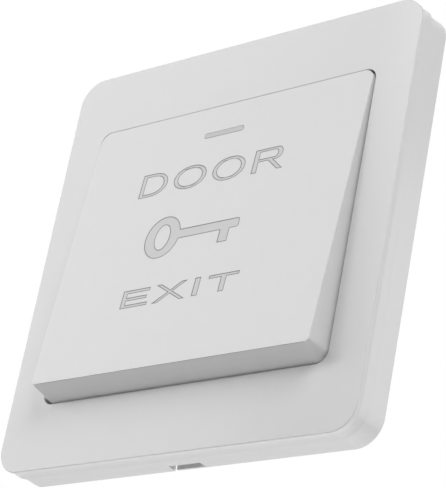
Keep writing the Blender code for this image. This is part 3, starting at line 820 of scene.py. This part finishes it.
# %% Wide letters from blocks
r_left = 9.6 * mm
r_top = 13.05 * mm
r_bottom = 18.25 * mm
r_stem = 1.25 * mm
r_bowl_right = 16.45 * mm
r_bowl_bottom = 15.9 * mm
r_bowl_round = 1.4 * mm
r_arch_wall = 0.65 * mm
r_side_wall = 1.25 * mm
r_counter_round = 0.7 * mm
r_leg_left = 12.8 * mm
r_leg_width = 1.35 * mm
r_leg_slant = 3.0 * mm
word_top = 39.5 * mm
word_bottom = 43.35 * mm
arm = 0.72 * mm
e_left = -15.25 * mm
e_right = -8.45 * mm
e_stem = 1.15 * mm
e_short = 0.5 * mm
t_left = 6.0 * mm
t_right = 13.28 * mm
t_stem = 1.35 * mm
flat_angle = radians(0.5)


def sign_block(name, x_low, x_high, s_top, s_bottom, radius=0.0, deeper=0.0):
    low = (x_low, -above_face - deeper, -s_bottom)
    return slab(name, low, (x_high, groove_depth + deeper, -s_top), radius, 8)


def merge_flats(sign):
    """Join the faces of one flat, which a union of flush blocks leaves in pieces."""
    edit(sign)
    bpy.ops.mesh.select_all(action="SELECT")
    bpy.ops.mesh.dissolve_limited(angle_limit=flat_angle)
    return close(sign)


def wide_r():
    sign = sign_block("letter", r_left - margin, r_bowl_right, r_top, r_bowl_bottom, r_bowl_round)
    counter_right = r_bowl_right - r_side_wall
    counter_top = r_top + r_arch_wall
    counter_bottom = r_bowl_bottom - r_arch_wall
    cut(sign, sign_block("end", r_left - 2 * margin, r_left, r_top - margin, r_bottom, deeper=margin),
        sign_block("counter", r_left + r_stem, counter_right, counter_top, counter_bottom,
                   r_counter_round, margin),
        sign_block("square", r_left + r_stem, counter_right - margin, counter_top, counter_bottom,
                   deeper=margin))
    leg_top = r_bowl_bottom - r_arch_wall / 2
    leg = sign_block("leg", r_leg_left, r_leg_left + r_leg_width, leg_top, r_bottom)
    edit(leg)
    pick(leg, "VERT", lambda v: abs(v.co.z + r_bottom) < near)
    bpy.ops.transform.translate(value=(r_leg_slant, 0, 0))
    close(leg)
    weld(sign, sign_block("stem", r_left, r_left + r_stem, r_top, r_bottom), leg)
    return lay_on_face(merge_flats(sign))


def wide_e():
    sign = sign_block("letter", e_left, e_left + e_stem, word_top, word_bottom)
    middle = (word_top + word_bottom) / 2
    arms = [(word_top, e_right), (middle - arm / 2, e_right - e_short), (word_bottom - arm, e_right)]
    for top, right in arms:
        weld(sign, sign_block("arm", e_left, right, top, top + arm))
    return lay_on_face(merge_flats(sign))


def wide_t():
    sign = sign_block("letter", t_left, t_right, word_top, word_top + arm)
    middle = (t_left + t_right) / 2
    weld(sign, sign_block("stem", middle - t_stem / 2, middle + t_stem / 2, word_top, word_bottom))
    return lay_on_face(merge_flats(sign))


# %% The key sign
key_centre = (-9.1 * mm, 28.63 * mm)
key_ring = (4.38 * mm, 4.61 * mm)
key_hole = (1.79 * mm, 2.7 * mm)
shaft_end = 9.9 * mm
shaft_top = 27.52 * mm
shaft_bottom = 29.6 * mm
bit_left = 5.46 * mm
bit_right = 7.85 * mm
bit_bottom = 32.37 * mm
shaft_round = 0.6 * mm


def oval(name, centre, radii, deep):
    piece = rod(name, (0, -above_face, 0), (0, deep, 0), 1.0, sides=64)
    stretch = Matrix.Diagonal((radii[0], 1, radii[1], 1))
    piece.data.transform(Matrix.Translation((centre[0], 0, -centre[1])) @ stretch)
    return piece


def key_sign():
    """A ring whose side is pulled out as the shaft, with a bit pulled down from the shaft."""
    key = oval("key", key_centre, key_ring, groove_depth)
    shaft_half = (shaft_bottom - shaft_top) / 2
    shaft_z = -(shaft_bottom + shaft_top) / 2
    edit(key)
    pick(key, "FACE", lambda f: f.calc_center_median().x > key_centre[0]
         and abs(f.calc_center_median().z + key_centre[1]) < shaft_half)
    mesh = bmesh.from_edit_mesh(key.data)
    root = max(abs(v.co.z + key_centre[1]) for v in mesh.verts if v.select)
    stretch = (1, 1, shaft_half / root)
    bpy.ops.transform.resize(value=stretch, center_override=(0, 0, -key_centre[1]))
    bpy.ops.transform.translate(value=(0, 0, shaft_z + key_centre[1]))
    extrude((margin, 0, 0))
    bpy.ops.transform.resize(value=(0, 1, 1), center_override=(shaft_end, 0, 0))
    for x in (bit_left, bit_right):
        bpy.ops.mesh.select_all(action="SELECT")
        bpy.ops.mesh.bisect(plane_co=(x, 0, 0), plane_no=(1, 0, 0))
    pick(key, "FACE", lambda f: flat_at(2, -shaft_bottom)(f)
         and bit_left < f.calc_center_median().x < bit_right)
    extrude((0, 0, shaft_bottom - bit_bottom))
    pick(key, "EDGE", lambda e: flat_at(0, shaft_end)(e) and along(1)(e)
         and abs(e.verts[0].co.z - shaft_z) > shaft_half - near)
    bpy.ops.mesh.bevel(offset=shaft_round, segments=6, affect="EDGES")
    close(key)
    cut(key, oval("key_hole", key_centre, key_hole, groove_depth + margin))
    return lay_on_face(key)


# %% Sink the signs
for sign, x_low, x_high, s_top, s_bottom in letters:
    cut(rocker, letter(sign, x_low * mm, x_high * mm, s_top * mm, s_bottom * mm))
cut(rocker, wide_r(), wide_e(), wide_t(), key_sign())
print("rocker has", len(rocker.data.polygons), "faces with its signs")

# %% [markdown]
# The indicator's slot goes right through the face. Its round ends stop `end_flat` short of a full
# half circle, or the two arcs of each end would meet in doubled corners. Last, the walls of the
# signs get a dark grey, painted shade for the shadow in the groove, and their raised floors the
# grey of a filled letter.

# %% Slot for the indicator
strip_x = -0.3 * mm
strip_half = 4.87 * mm
strip_wide = 1.1 * mm
strip_drop = 6.65 * mm
strip_slit = 0.07 * mm
end_flat = 0.01 * mm
strip_round = strip_wide / 2 - end_flat


def strip_bar(name, grown, y_front, y_rear, radius, steps=12):
    """A bar around the indicator's place on the face, its depths counted from the face."""
    half = strip_wide / 2 + grown
    low = (strip_x - strip_half - grown, y_front, -strip_drop - half)
    high = (strip_x + strip_half + grown, y_rear, -strip_drop + half)
    return lay_on_face(slab(name, low, high, radius, steps))


cut(rocker, strip_bar("slot", strip_slit, -margin, rocker_wall + margin, strip_round))
print("rocker has", len(rocker.data.polygons), "faces with its slot")

# %% Raise the fields of the signs
signs_half = 22 * mm
groove_from = 0.3 * groove_depth
groove_to = 1.1 * groove_depth


def depth_under_face(point):
    return (point.y - face_y(point.z)) * cos(tilt)


def in_groove(face):
    middle = face.calc_center_median()
    return groove_from < depth_under_face(middle) < groove_to and abs(middle.x) < signs_half


def on_floor(face):
    return all(abs(depth_under_face(v.co) - groove_depth) < 2 * near for v in face.verts)


for material in (rocker_plastic, groove_painted_shade, letter_fill):
    rocker.data.materials.append(material)
edit(rocker)
# Slot 1 paints the groove walls dark grey, painted shade for the shadow in the groove; slot 2 is the
# letter fill.
rocker.active_material_index = 1
print("groove faces:", pick(rocker, "FACE", in_groove))
bpy.ops.object.material_slot_assign()
print("floors:", pick(rocker, "FACE", on_floor))
bpy.ops.mesh.inset(thickness=groove_width, use_boundary=True, use_even_offset=True)
outward = Vector((0, -cos(tilt), sin(tilt)))
extrude(outward * field_raise)
rocker.active_material_index = 2
bpy.ops.object.material_slot_assign()
close(rocker)
print("rocker's lowest y is %.2f mm" % (min(v.co.y for v in rocker.data.vertices) / mm))
shade(rocker)
finish_piece(rocker, "rocker", "rocker_button", "rocker_plastic")

# %% [markdown]
# ## Indicator strip
#
# The small grey bar above the words is a separate moulding pushed in from behind, held by a flange.
# It could be a patch of colour, but its slit shows in the light, so it is a bar in the slot. It
# stands a hair proud of the face, and its front edge is rounded like any moulded edge.

# %% Indicator strip
strip_proud = 0.03 * mm
strip_edge = 0.08 * mm
flange_grown = 1.0 * mm
flange_thickness = 0.7 * mm
flange_round = 0.3 * mm
flange_gap = 0.15 * mm
flange_front = rocker_wall + flange_gap
flange_rear = flange_front + flange_thickness


def on_strip_front(edge):
    return all(depth_under_face(v.co) < near - strip_proud for v in edge.verts)


strip = strip_bar("indicator", 0.0, -strip_proud, flange_front + overlap, strip_round)
round_edges(strip, on_strip_front, strip_edge, 3)
weld(strip, strip_bar("flange", flange_grown, flange_front, flange_rear, flange_round, 4))
shade(strip)
finish_piece(strip, "rocker", "indicator_strip", "strip_plastic")

# %% [markdown]
# ## Base plate
#
# Behind the cover, a shallow tray carries everything: two slots for the wall box's screws, the
# bearings of the rocker, and a deep square well for the switch. It was one moulding, so it is one
# mesh: a slab whose tray is inset and pushed in, with blocks and rods welded on and cut out.

# %% Sizes of the base plate
base_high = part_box("base_plate")[1]
cover_low, cover_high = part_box("rear_cover")
strap_low, strap_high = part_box("terminal_right")
screw_low, screw_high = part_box("cover_screw_right")
base_half = base_high.x
base_radius = 3.3 * mm
rim_height = 4.4 * mm
rim_wall = 1.4 * mm
snap_gap = 0.3 * mm
tab_left = -3.0 * mm
tab_right = 3.6 * mm
tab_front = -0.5 * mm
tab_short = 0.1 * mm
tab_bottom = -plate_half + tab_short
well_half = cover_high.x
well_rear = base_high.y
well_z = (cover_low.z + cover_high.z) / 2
well_height = cover_high.z - cover_low.z
well_wall = 1.6 * mm
well_radius = 1.5 * mm
well_inside_radius = 0.7 * mm
guide_front = -3.37 * mm
guide_bore = 2.9 * mm
guide_wall = 1.4 * mm
boss_x = (screw_low.x + screw_high.x) / 2
boss_z = (screw_low.z + screw_high.z) / 2
boss_radius = 2.8 * mm
pilot_radius = 1.5 * mm
pilot_front = 8.98 * mm
post_width = 3.0 * mm
post_length = 5.0 * mm
strap_thickness = 0.8 * mm
seat_gap = 0.25 * mm
strap_post_x = strap_high.x - strap_thickness - seat_gap - post_width / 2
fixing_half = 30.15 * mm
slot_length = 9.0 * mm
slot_width = 4.5 * mm
cradle_reach = 1.7 * mm
cradle_front = hinge.y - cradle_reach
cradle_height = 2.8 * mm
cradle_bore = 1.6 * mm
cradle_mouth = 1.2 * mm
hook_room = 1.0 * mm
base_edge = 0.15 * mm
print("well is %.1f mm wide and ends %.1f mm behind the wall" % (2 * well_half / mm, well_rear / mm))


# %% Tray, snap windows and pry tab
def centred(name, x, z, width, height, y_front, y_rear, radius=0.0, steps=12):
    """A block given by its centre, width and height, and its two depths."""
    return slab(name, (x - width / 2, y_front, z - height / 2), (x + width / 2, y_rear, z + height / 2),
                radius, steps)


def post(name, x, z, y_front, y_rear, radius):
    return rod(name, (x, y_front, z), (x, y_rear, z), radius)


base = centred("base", 0, 0, 2 * base_half, 2 * base_half, -rim_height, 0, base_radius)
edit(base)
pick(base, "FACE", flat_at(1, -rim_height))
bpy.ops.mesh.inset(thickness=rim_wall, use_even_offset=True)
extrude((0, rim_height + base_floor, 0))
close(base)
window_height = snap_width + 2 * snap_gap
window_front = snap_front - snap_gap
window_rear = snap_front + snap_length + snap_gap
for side in (-1, 1):
    for up in (-1, 1):
        cut(base, centred("window", side * (base_half - rim_wall / 2), up * snap_offset,
                          rim_wall + margin, window_height, window_front, window_rear))
weld(base, slab("tab", (tab_left, tab_front, tab_bottom), (tab_right, 0, -base_half + rim_wall / 2)))

# %% Switch well, guide and bosses
weld(base, centred("well", 0, well_z, 2 * well_half, well_height, base_floor / 2, well_rear, well_radius),
     post("guide", 0, plunger_z, guide_front, base_floor / 2, guide_bore + guide_wall))
cut(base, centred("inside", 0, well_z, 2 * (well_half - well_wall), well_height - 2 * well_wall, 0,
                  well_rear + margin, well_inside_radius))
for side in (-1, 1):
    weld(base, post("boss", side * boss_x, boss_z, -overlap, well_rear, boss_radius),
         centred("strap_post", side * strap_post_x, plunger_z, post_width, post_length, -overlap,
                 strap_low.y - seat_gap))
    cut(base, post("pilot", side * boss_x, boss_z, pilot_front, well_rear + margin, pilot_radius))
cut(base, post("bore", 0, plunger_z, guide_front - margin, margin, guide_bore))

# %% Fixing slots, rocker bearings, hook windows and spring pins
for side in (-1, 1):
    x = side * hinge_x
    cut(base, centred("slot", side * fixing_half, 0, slot_length, slot_width, -rim_height - margin, margin,
                      slot_width / 2 - end_flat))
    weld(base, centred("cradle", x, hinge.z, 2 * cradle_half, 2 * cradle_height, cradle_front,
                       base_floor + overlap),
         post("spring_pin", side * spring_x, spring_z, base_floor - spring_pin_height,
              base_floor + overlap, spring_pin_radius))
    hook_left = side * hook_x - hook_half - snap_gap
    hook_right = side * hook_x + hook_half + snap_gap
    cut(base, rod("bearing", (x - margin, hinge.y, hinge.z), (x + margin, hinge.y, hinge.z), cradle_bore),
        centred("mouth", x, hinge.z, 2 * margin, 2 * cradle_mouth, cradle_front - margin, hinge.y),
        slab("hook_window", (hook_left, base_floor - margin, hook_outer - snap_gap),
             (hook_right, margin, hook_inner + hook_room)))
soften(base, base_edge)
finish_piece(base, "frame", "base_plate", "base_plastic")

# %% [markdown]
# ## Rear cover
#
# A small lid closes the switch well, with two square windows for the wires and the terminal screws.
# Its rounded edge, its spigot that drops into the well and the pin for the spring are all one piece.
# It could be drawn as an outline and extruded, but the blocks that made the well serve again, so
# that both have the same corners.

# %% Rear cover
lid_gap = 0.3 * mm
lid_front = well_rear + lid_gap
lid_rear = cover_high.y
spigot_height = 1.4 * mm
spigot_wall = 1.2 * mm
spigot_gap = 0.3 * mm
clamp_low, clamp_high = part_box("wire_clamp_right")
clamp_x = (clamp_low.x + clamp_high.x) / 2
clamp_z = (clamp_low.z + clamp_high.z) / 2
clamp_size = clamp_high.x - clamp_low.x
window_margin = 1.2 * mm
seat_pin_radius = 2.15 * mm
seat_pin_height = 1.6 * mm
corner_room = 10.4 * mm
lid_edge = 0.35 * mm


def lid_spigot():
    width = 2 * (well_half - well_wall - spigot_gap)
    height = well_height - 2 * (well_wall + spigot_gap)
    front = lid_front - spigot_height
    spigot = centred("spigot", 0, well_z, width, height, front, lid_front + overlap)
    cut(spigot, centred("inside", 0, well_z, width - 2 * spigot_wall, height - 2 * spigot_wall,
                        front - margin, lid_front + margin))
    for side in (-1, 1):
        cut(spigot, centred("corner", side * boss_x, boss_z, corner_room, corner_room, front - margin,
                            lid_front + margin))
    return spigot


lid = centred("lid", 0, well_z, 2 * well_half, well_height, lid_front, lid_rear, well_radius)
round_edges(lid, flat_at(1, lid_rear), lid_edge, 4)
weld(lid, lid_spigot(), post("seat_pin", 0, plunger_z, lid_front - seat_pin_height, lid_front + overlap,
                             seat_pin_radius))
window = clamp_size + 2 * window_margin
for side in (-1, 1):
    cut(lid, centred("window", side * clamp_x, clamp_z, window, window, lid_front - margin,
                     lid_rear + margin, window_margin),
        post("hole", side * boss_x, boss_z, lid_front - margin, lid_rear + margin, pilot_radius))
soften(lid, base_edge)
finish_piece(lid, "frame", "rear_cover", "base_plastic")

# %% [markdown]
# ## Turned pieces
#
# Screws, contacts and the plunger were turned or headed from rod. A lathe profile would do, but each
# is only a rod whose end is pulled on and resized, step by step, so it is extruded like one.

# %% Stepped rods
def stepped(name, x, z, sections, sides=48):
    """A turned piece along Y: (radius, y) from one end to the other. A radius may change at one y."""
    start_radius, start_y = sections[0]
    radius, y = sections[1]
    piece = rod(name, (x, start_y, z), (x, y, z), start_radius, sides)
    edit(piece)
    pick(piece, "FACE", flat_at(1, y))
    share = radius / start_radius
    bpy.ops.transform.resize(value=(share, 1, share), center_override=(x, y, z))
    for next_radius, next_y in sections[2:]:
        extrude((0, next_y - y, 0))
        share = next_radius / radius
        bpy.ops.transform.resize(value=(share, 1, share), center_override=(x, next_y, z))
        radius = next_radius
        y = next_y
    bpy.ops.mesh.select_all(action="SELECT")
    bpy.ops.mesh.normals_make_consistent(inside=False)
    return close(piece)


# %% Plunger
stem_radius = 2.6 * mm
collar_radius = 4.2 * mm
collar_front = 0.3 * mm
collar_rear = 1.8 * mm
tail_stem_radius = 1.8 * mm
tail_point = 0.5 * mm
tip_curve = [(0.5 * mm, 0.0), (0.25 * mm, 0.1 * mm), (0.05 * mm, 0.3 * mm), (0.0, 0.5 * mm)]
plunger_edge = 0.1 * mm

plunger = stepped("plunger", 0, plunger_z, [
    *[(stem_radius - short, plunger_low.y + back) for short, back in tip_curve],
    (stem_radius, collar_front),
    (collar_radius, collar_front),
    (collar_radius, collar_rear),
    (tail_stem_radius, collar_rear),
    (tail_stem_radius, plunger_high.y - tail_point),
    (tail_stem_radius - tail_point, plunger_high.y),
])
soften(plunger, plunger_edge)
finish_piece(plunger, "plunger", "switch_plunger", "nylon")

# %% Contacts
contact_radius = 1.8 * mm
contact_head = 0.8 * mm
crown = 0.2 * mm
rivet_radius = 0.8 * mm
tail_radius = 1.4 * mm
rivet_tail = 0.5 * mm


def contact(name, node, body, rearward):
    """A rivet with a crowned head. Its head faces the wall if rearward, the room if not."""
    low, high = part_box(node)
    x = (low.x + high.x) / 2
    face, tail = (high.y, low.y) if rearward else (low.y, high.y)
    away = -1 if rearward else 1
    neck = face + away * contact_head
    piece = stepped(name, x, plunger_z, [
        (contact_radius - 3 * crown, face),
        (contact_radius - crown, face + away * crown / 2),
        (contact_radius, face + away * 2 * crown),
        (contact_radius, neck),
        (rivet_radius, neck),
        (rivet_radius, tail - away * rivet_tail),
        (tail_radius, tail - away * rivet_tail),
        (tail_radius - crown, tail),
    ])
    shade(piece)
    finish_piece(piece, body, node, "contact_silver")


for side in ("left", "right"):
    contact("moving_contact_" + side, "bridge_contact_" + side, "plunger", True)
    contact("still_contact_" + side, "fixed_contact_" + side, "frame", False)

# %% Contact bridge
bridge_round = 1.5 * mm
bridge_bore = 2.1 * mm
bridge_edge = 0.1 * mm
bridge_low, bridge_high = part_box("contact_bridge")
bridge = slab("bridge", bridge_low, bridge_high, bridge_round, 12)
cut(bridge, post("hole", 0, plunger_z, bridge_low.y - margin, bridge_high.y + margin, bridge_bore))
moving_low, moving_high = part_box("bridge_contact_right")
for side in (-1, 1):
    x = side * (moving_low.x + moving_high.x) / 2
    cut(bridge, post("hole", x, plunger_z, bridge_low.y - margin, bridge_high.y + margin,
                     rivet_radius + seat_gap))
soften(bridge, bridge_edge)
finish_piece(bridge, "plunger", "contact_bridge", "brass")

# %% [markdown]
# ## Terminals and clamps
#
# Each terminal is a brass strap folded twice, from the contact's pad along the well's wall to the
# screw's pad. It could be pulled out of its pad by extruding, but the wider screw's pad would need
# a step. So its three flats are blocks, welded where they meet, and a fold has a round outside, so
# the edges there are rounded.

# %% Folded straps
strap_edge = 0.08 * mm
fold_round = 0.5 * mm
pad_width = 6.0 * mm
screw_pad_width = 9.0 * mm
screw_pad_reach = 5.0 * mm
screw_hole = 1.8 * mm


def strap(name, node, side):
    low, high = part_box(node)
    inner = side * min(abs(low.x), abs(high.x))
    outer = side * max(abs(low.x), abs(high.x))
    leg = outer - side * strap_thickness
    pad_end = side * (clamp_x - screw_pad_reach)
    z_low = plunger_z - pad_width / 2
    piece = slab(name, (min(inner, outer), low.y, z_low),
                 (max(inner, outer), low.y + strap_thickness, plunger_z + pad_width / 2))
    weld(piece, slab("leg", (min(leg, outer), low.y, z_low), (max(leg, outer), high.y, high.z)),
         slab("screw_pad", (min(pad_end, outer), high.y - strap_thickness, high.z - screw_pad_width),
              (max(pad_end, outer), high.y, high.z)))

    def on_fold(edge):
        return along(2)(edge) and all(abs(v.co.x - outer) < near for v in edge.verts)

    round_edges(piece, on_fold, fold_round, 6)
    still_low, still_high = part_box("fixed_contact_right")
    x = side * (still_low.x + still_high.x) / 2
    cut(piece, post("hole", x, plunger_z, low.y - margin, low.y + margin, rivet_radius + seat_gap),
        post("hole", side * clamp_x, clamp_z, high.y - margin, high.y + margin, screw_hole))
    soften(piece, strap_edge)
    finish_piece(piece, "frame", node, "brass")


for side, where in ((-1, "left"), (1, "right")):
    strap("strap_" + where, "terminal_" + where, side)

# %% Wire clamps
clamp_corner = 0.8 * mm
clamp_groove = 2.1 * mm
clamp_bend = 0.6 * mm
clamp_edge = 0.12 * mm


def wire_clamp(name, node):
    low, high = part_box(node)
    x = (low.x + high.x) / 2
    piece = slab(name, low, high, clamp_corner, 8)
    cut(piece, post("hole", x, clamp_z, low.y - margin, high.y + margin, screw_hole),
        centred("groove", x, clamp_z, 2 * clamp_size, clamp_groove, low.y - margin, high.y - clamp_bend))
    soften(piece, clamp_edge, 3)
    finish_piece(piece, "frame", node, "zinc_steel")


for where in ("left", "right"):
    wire_clamp("clamp_" + where, "wire_clamp_" + where)

# %% [markdown]
# ## Screws
#
# The screws are pan heads with a cross recess and a rolled thread. A thread is a small triangle
# turned and lifted at once, which is what the Screw modifier does. It could be a bump, but then
# the shank's outline would stay smooth. Its two open ends are closed before it is welded on.

# %% Threaded screws
thread_height = 0.25 * mm
thread_pitch = 0.6 * mm
thread_foot = 0.4
thread_buried = 0.05 * mm
thread_start = 0.5 * mm
thread_spare = 2
cross_length = 2.8 * mm
cross_width = 0.7 * mm
cross_depth = 0.9 * mm
cross_taper = 0.7
head_round = 0.8 * mm
screw_point = 0.6 * mm
arc_steps = 6


def thread(x, z, radius, y_start, turns):
    """A triangular ridge wound round a shank, its root buried in the shank."""
    bpy.ops.object.select_all(action="DESELECT")
    bpy.ops.mesh.primitive_circle_add(vertices=3, radius=thread_pitch, fill_type="NGON")
    ridge = bpy.context.object
    root = radius - thread_buried
    corners = [(root, thread_foot), (root, -thread_foot), (root + thread_height, 0.0)]
    for v, (out, share) in zip(ridge.data.vertices, corners):
        v.co = (out, 0.0, share * thread_pitch)
    apply(ridge, "SCREW", axis="Z", screw_offset=thread_pitch, iterations=turns, steps=32, render_steps=32,
          use_merge_vertices=True, merge_threshold=seam)
    edit(ridge)
    bpy.ops.mesh.select_mode(type="EDGE")
    bpy.ops.mesh.select_all(action="SELECT")
    bpy.ops.mesh.remove_doubles(threshold=seam)
    print("open rims of the thread:", pick(ridge, "EDGE", lambda edge: edge.is_boundary))
    bpy.ops.mesh.edge_face_add()
    bpy.ops.mesh.select_all(action="SELECT")
    bpy.ops.mesh.normals_make_consistent(inside=False)
    close(ridge)
    ridge.data.transform(Matrix.Translation((x, y_start, z)) @ Matrix.Rotation(pi / 2, 4, "X"))
    return ridge


def pan_screw(name, node, radius, seat_y):
    low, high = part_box(node)
    x = (low.x + high.x) / 2
    z = (low.z + high.z) / 2
    head_radius = (high.x - low.x) / 2
    sections = []
    for i in range(arc_steps + 1):
        angle = pi / 2 * i / arc_steps
        short = head_round * (1 - sin(angle))
        back = head_round * (1 - cos(angle))
        sections.append((head_radius - short, high.y - back))
    sections += [
        (head_radius, seat_y),
        (radius, seat_y),
        (radius, low.y + screw_point),
        (radius - screw_point, low.y),
    ]
    screw = stepped(name, x, z, sections)
    floor_y = high.y - cross_depth
    recess = centred("recess", x, z, cross_length, cross_width, floor_y, high.y + margin)
    weld(recess, centred("cross", x, z, cross_width, cross_length, floor_y, high.y + margin))
    edit(recess)
    pick(recess, "FACE", flat_at(1, floor_y))
    bpy.ops.transform.resize(value=(cross_taper, 1, cross_taper), center_override=(x, floor_y, z))
    close(recess)
    cut(screw, recess)
    turns = int((seat_y - low.y - screw_point) / thread_pitch) - thread_spare
    weld(screw, thread(x, z, radius, seat_y - thread_start, turns))
    shade(screw, screw_smooth_angle)
    finish_piece(screw, "frame", node, "zinc_steel")


for where in ("left", "right"):
    pan_screw("terminal_pan_screw_" + where, "terminal_screw_" + where,
              radius=1.5 * mm, seat_y=clamp_high.y + seat_gap)
    pan_screw("cover_pan_screw_" + where, "cover_screw_" + where,
              radius=1.2 * mm, seat_y=lid_rear + seat_gap)

# %% [markdown]
# ## Springs
#
# A coil is a curve whose points follow a helix, swept by a round wire. A Screw modifier winds one
# too, but not with the end turns closed up, as a real spring has them. The coil rides on the frame.

# %% Coil springs
wire = 0.5 * mm
points_per_turn = 28
flat_turns = 0.8
closed_pitch = 1.1


def coil(name, node, radius, turns):
    low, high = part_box(node)
    x = (low.x + high.x) / 2
    z = (low.z + high.z) / 2
    first = low.y + wire / 2
    last = high.y - wire / 2
    closed = wire * closed_pitch
    flat = flat_turns / turns
    free_rise = last - first - 2 * closed * flat_turns
    count = int(turns * points_per_turn)
    line = bpy.data.curves.new(name, "CURVE")
    line.dimensions = "3D"
    line.bevel_depth = wire / 2
    line.bevel_resolution = 4
    line.use_fill_caps = True
    spline = line.splines.new("POLY")
    spline.points.add(count)
    for i in range(count + 1):
        share = i / count
        angle = 2 * pi * turns * share
        end_turns = (min(share, flat) + max(share - (1 - flat), 0.0)) * turns
        free_share = min(max((share - flat) / (1 - 2 * flat), 0.0), 1.0)
        y = first + closed * end_turns + free_rise * free_share
        spline.points[i].co = (x + radius * cos(angle), y, z + radius * sin(angle), 1.0)
    piece = bpy.data.objects.new(name, line)
    bpy.context.scene.collection.objects.link(piece)
    alone(piece)
    bpy.ops.object.convert(target="MESH")
    edit(piece)
    bpy.ops.mesh.select_all(action="SELECT")
    bpy.ops.mesh.remove_doubles(threshold=seam)
    close(piece)
    shade(piece)
    finish_piece(piece, "frame", node, "spring_steel")
    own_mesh(piece)


for where in ("left", "right"):
    coil("return_spring_" + where, "rocker_spring_" + where,
         radius=2.6 * mm, turns=5.0)
coil("switch_spring", "plunger_spring", radius=2.8 * mm, turns=7.0)

# %% [markdown]
# ## Floor, background and light
#
# The photograph is cut out on pure white, with no shadow beside the plate. A pale floor well below
# the button keeps the scene grounded, and the world shows plain white to the camera while it gives
# only a plain studio level of light to the object. Six area lamps do the rest: three from the left
# and the front, one from the top right, and two from behind that reach the right and lower sides.
# The lowest one would show as a bright patch in the glossy cover, so nothing mirrors it.

# %% Floor and world
white = (1, 1, 1, 1)
floor_grey = (0.85, 0.85, 0.85, 1)
floor_size = 4.0
floor_z = -0.35


def seen_rays(finish):
    """1 for the rays that show a background: from the camera, in reflections and through glass."""
    camera, glossy, glass = [finish.add("ShaderNodeLightPath", output="Is %s Ray" % kind)
                             for kind in ("Camera", "Glossy", "Transmission")]
    return camera.largest(glossy).largest(glass)


def add_floor(glow_share, glow_level):
    """A pale floor that is lit like the object, and glows a little to the camera to reach white."""
    bpy.ops.object.select_all(action="DESELECT")
    bpy.ops.mesh.primitive_plane_add(size=floor_size, location=(0, 0, floor_z))
    floor = bpy.context.object
    floor.name = "floor"
    finish = Finish(bpy.data.materials.new("floor_white"))
    glow = finish.add("ShaderNodeEmission", values={"Color": white, "Strength": glow_level})
    dull = finish.add("ShaderNodeBsdfDiffuse", values={"Color": floor_grey})
    share = seen_rays(finish) * glow_share
    mixed = finish.add("ShaderNodeMixShader", values={0: share, 1: dull, 2: glow})
    floor.data.materials.append(finish.show(mixed))


def add_world(light_level):
    """White where it is seen, and this much light on everything."""
    world = bpy.data.worlds.new("studio")
    bpy.context.scene.world = world
    finish = Finish(world, "Background")
    finish.shade_with({"Color": white, "Strength": light_level})
    light = Wire(finish, finish.shader.outputs[0])
    shown = finish.add("ShaderNodeBackground", values={"Color": white, "Strength": 1.0})
    finish.show(finish.add("ShaderNodeMixShader", values={0: seen_rays(finish), 1: light, 2: shown}))


add_floor(glow_share=0.5, glow_level=1.15)
add_world(light_level=0.15)
bpy.context.scene.view_settings.view_transform = "Standard"
print("floor and world are in place")


# %% Lamps
def add_lamp(name, place, watts, size, mirrored=True):
    """An area lamp that faces the plate. If it isn't mirrored, glossy surfaces show no patch of it."""
    data = bpy.data.lights.new(name, "AREA")
    data.energy = watts
    data.size = size
    lamp = bpy.data.objects.new(name, data)
    bpy.context.scene.collection.objects.link(lamp)
    lamp.visible_glossy = mirrored
    lamp.location = place
    lamp.rotation_euler = (-Vector(place)).to_track_quat("-Z", "Y").to_euler()
    print("lamp %s gives %.2f W" % (name, watts))


add_lamp("key", (-0.32, -0.72, 0.4), watts=1.75, size=0.36)
add_lamp("left_front", (-0.72, -0.46, 0.33), watts=1.5, size=0.5)
add_lamp("left", (-0.8, -0.3, 0.1), watts=0.9, size=0.5)
add_lamp("top_right", (0.48, -0.42, 0.6), watts=3.8, size=0.5)
add_lamp("right_rim", (0.7, 0.3, 0.05), watts=1.9, size=0.7)
add_lamp("low_rim", (0.02, 0.22, -0.26), watts=0.62, size=0.3, mirrored=False)
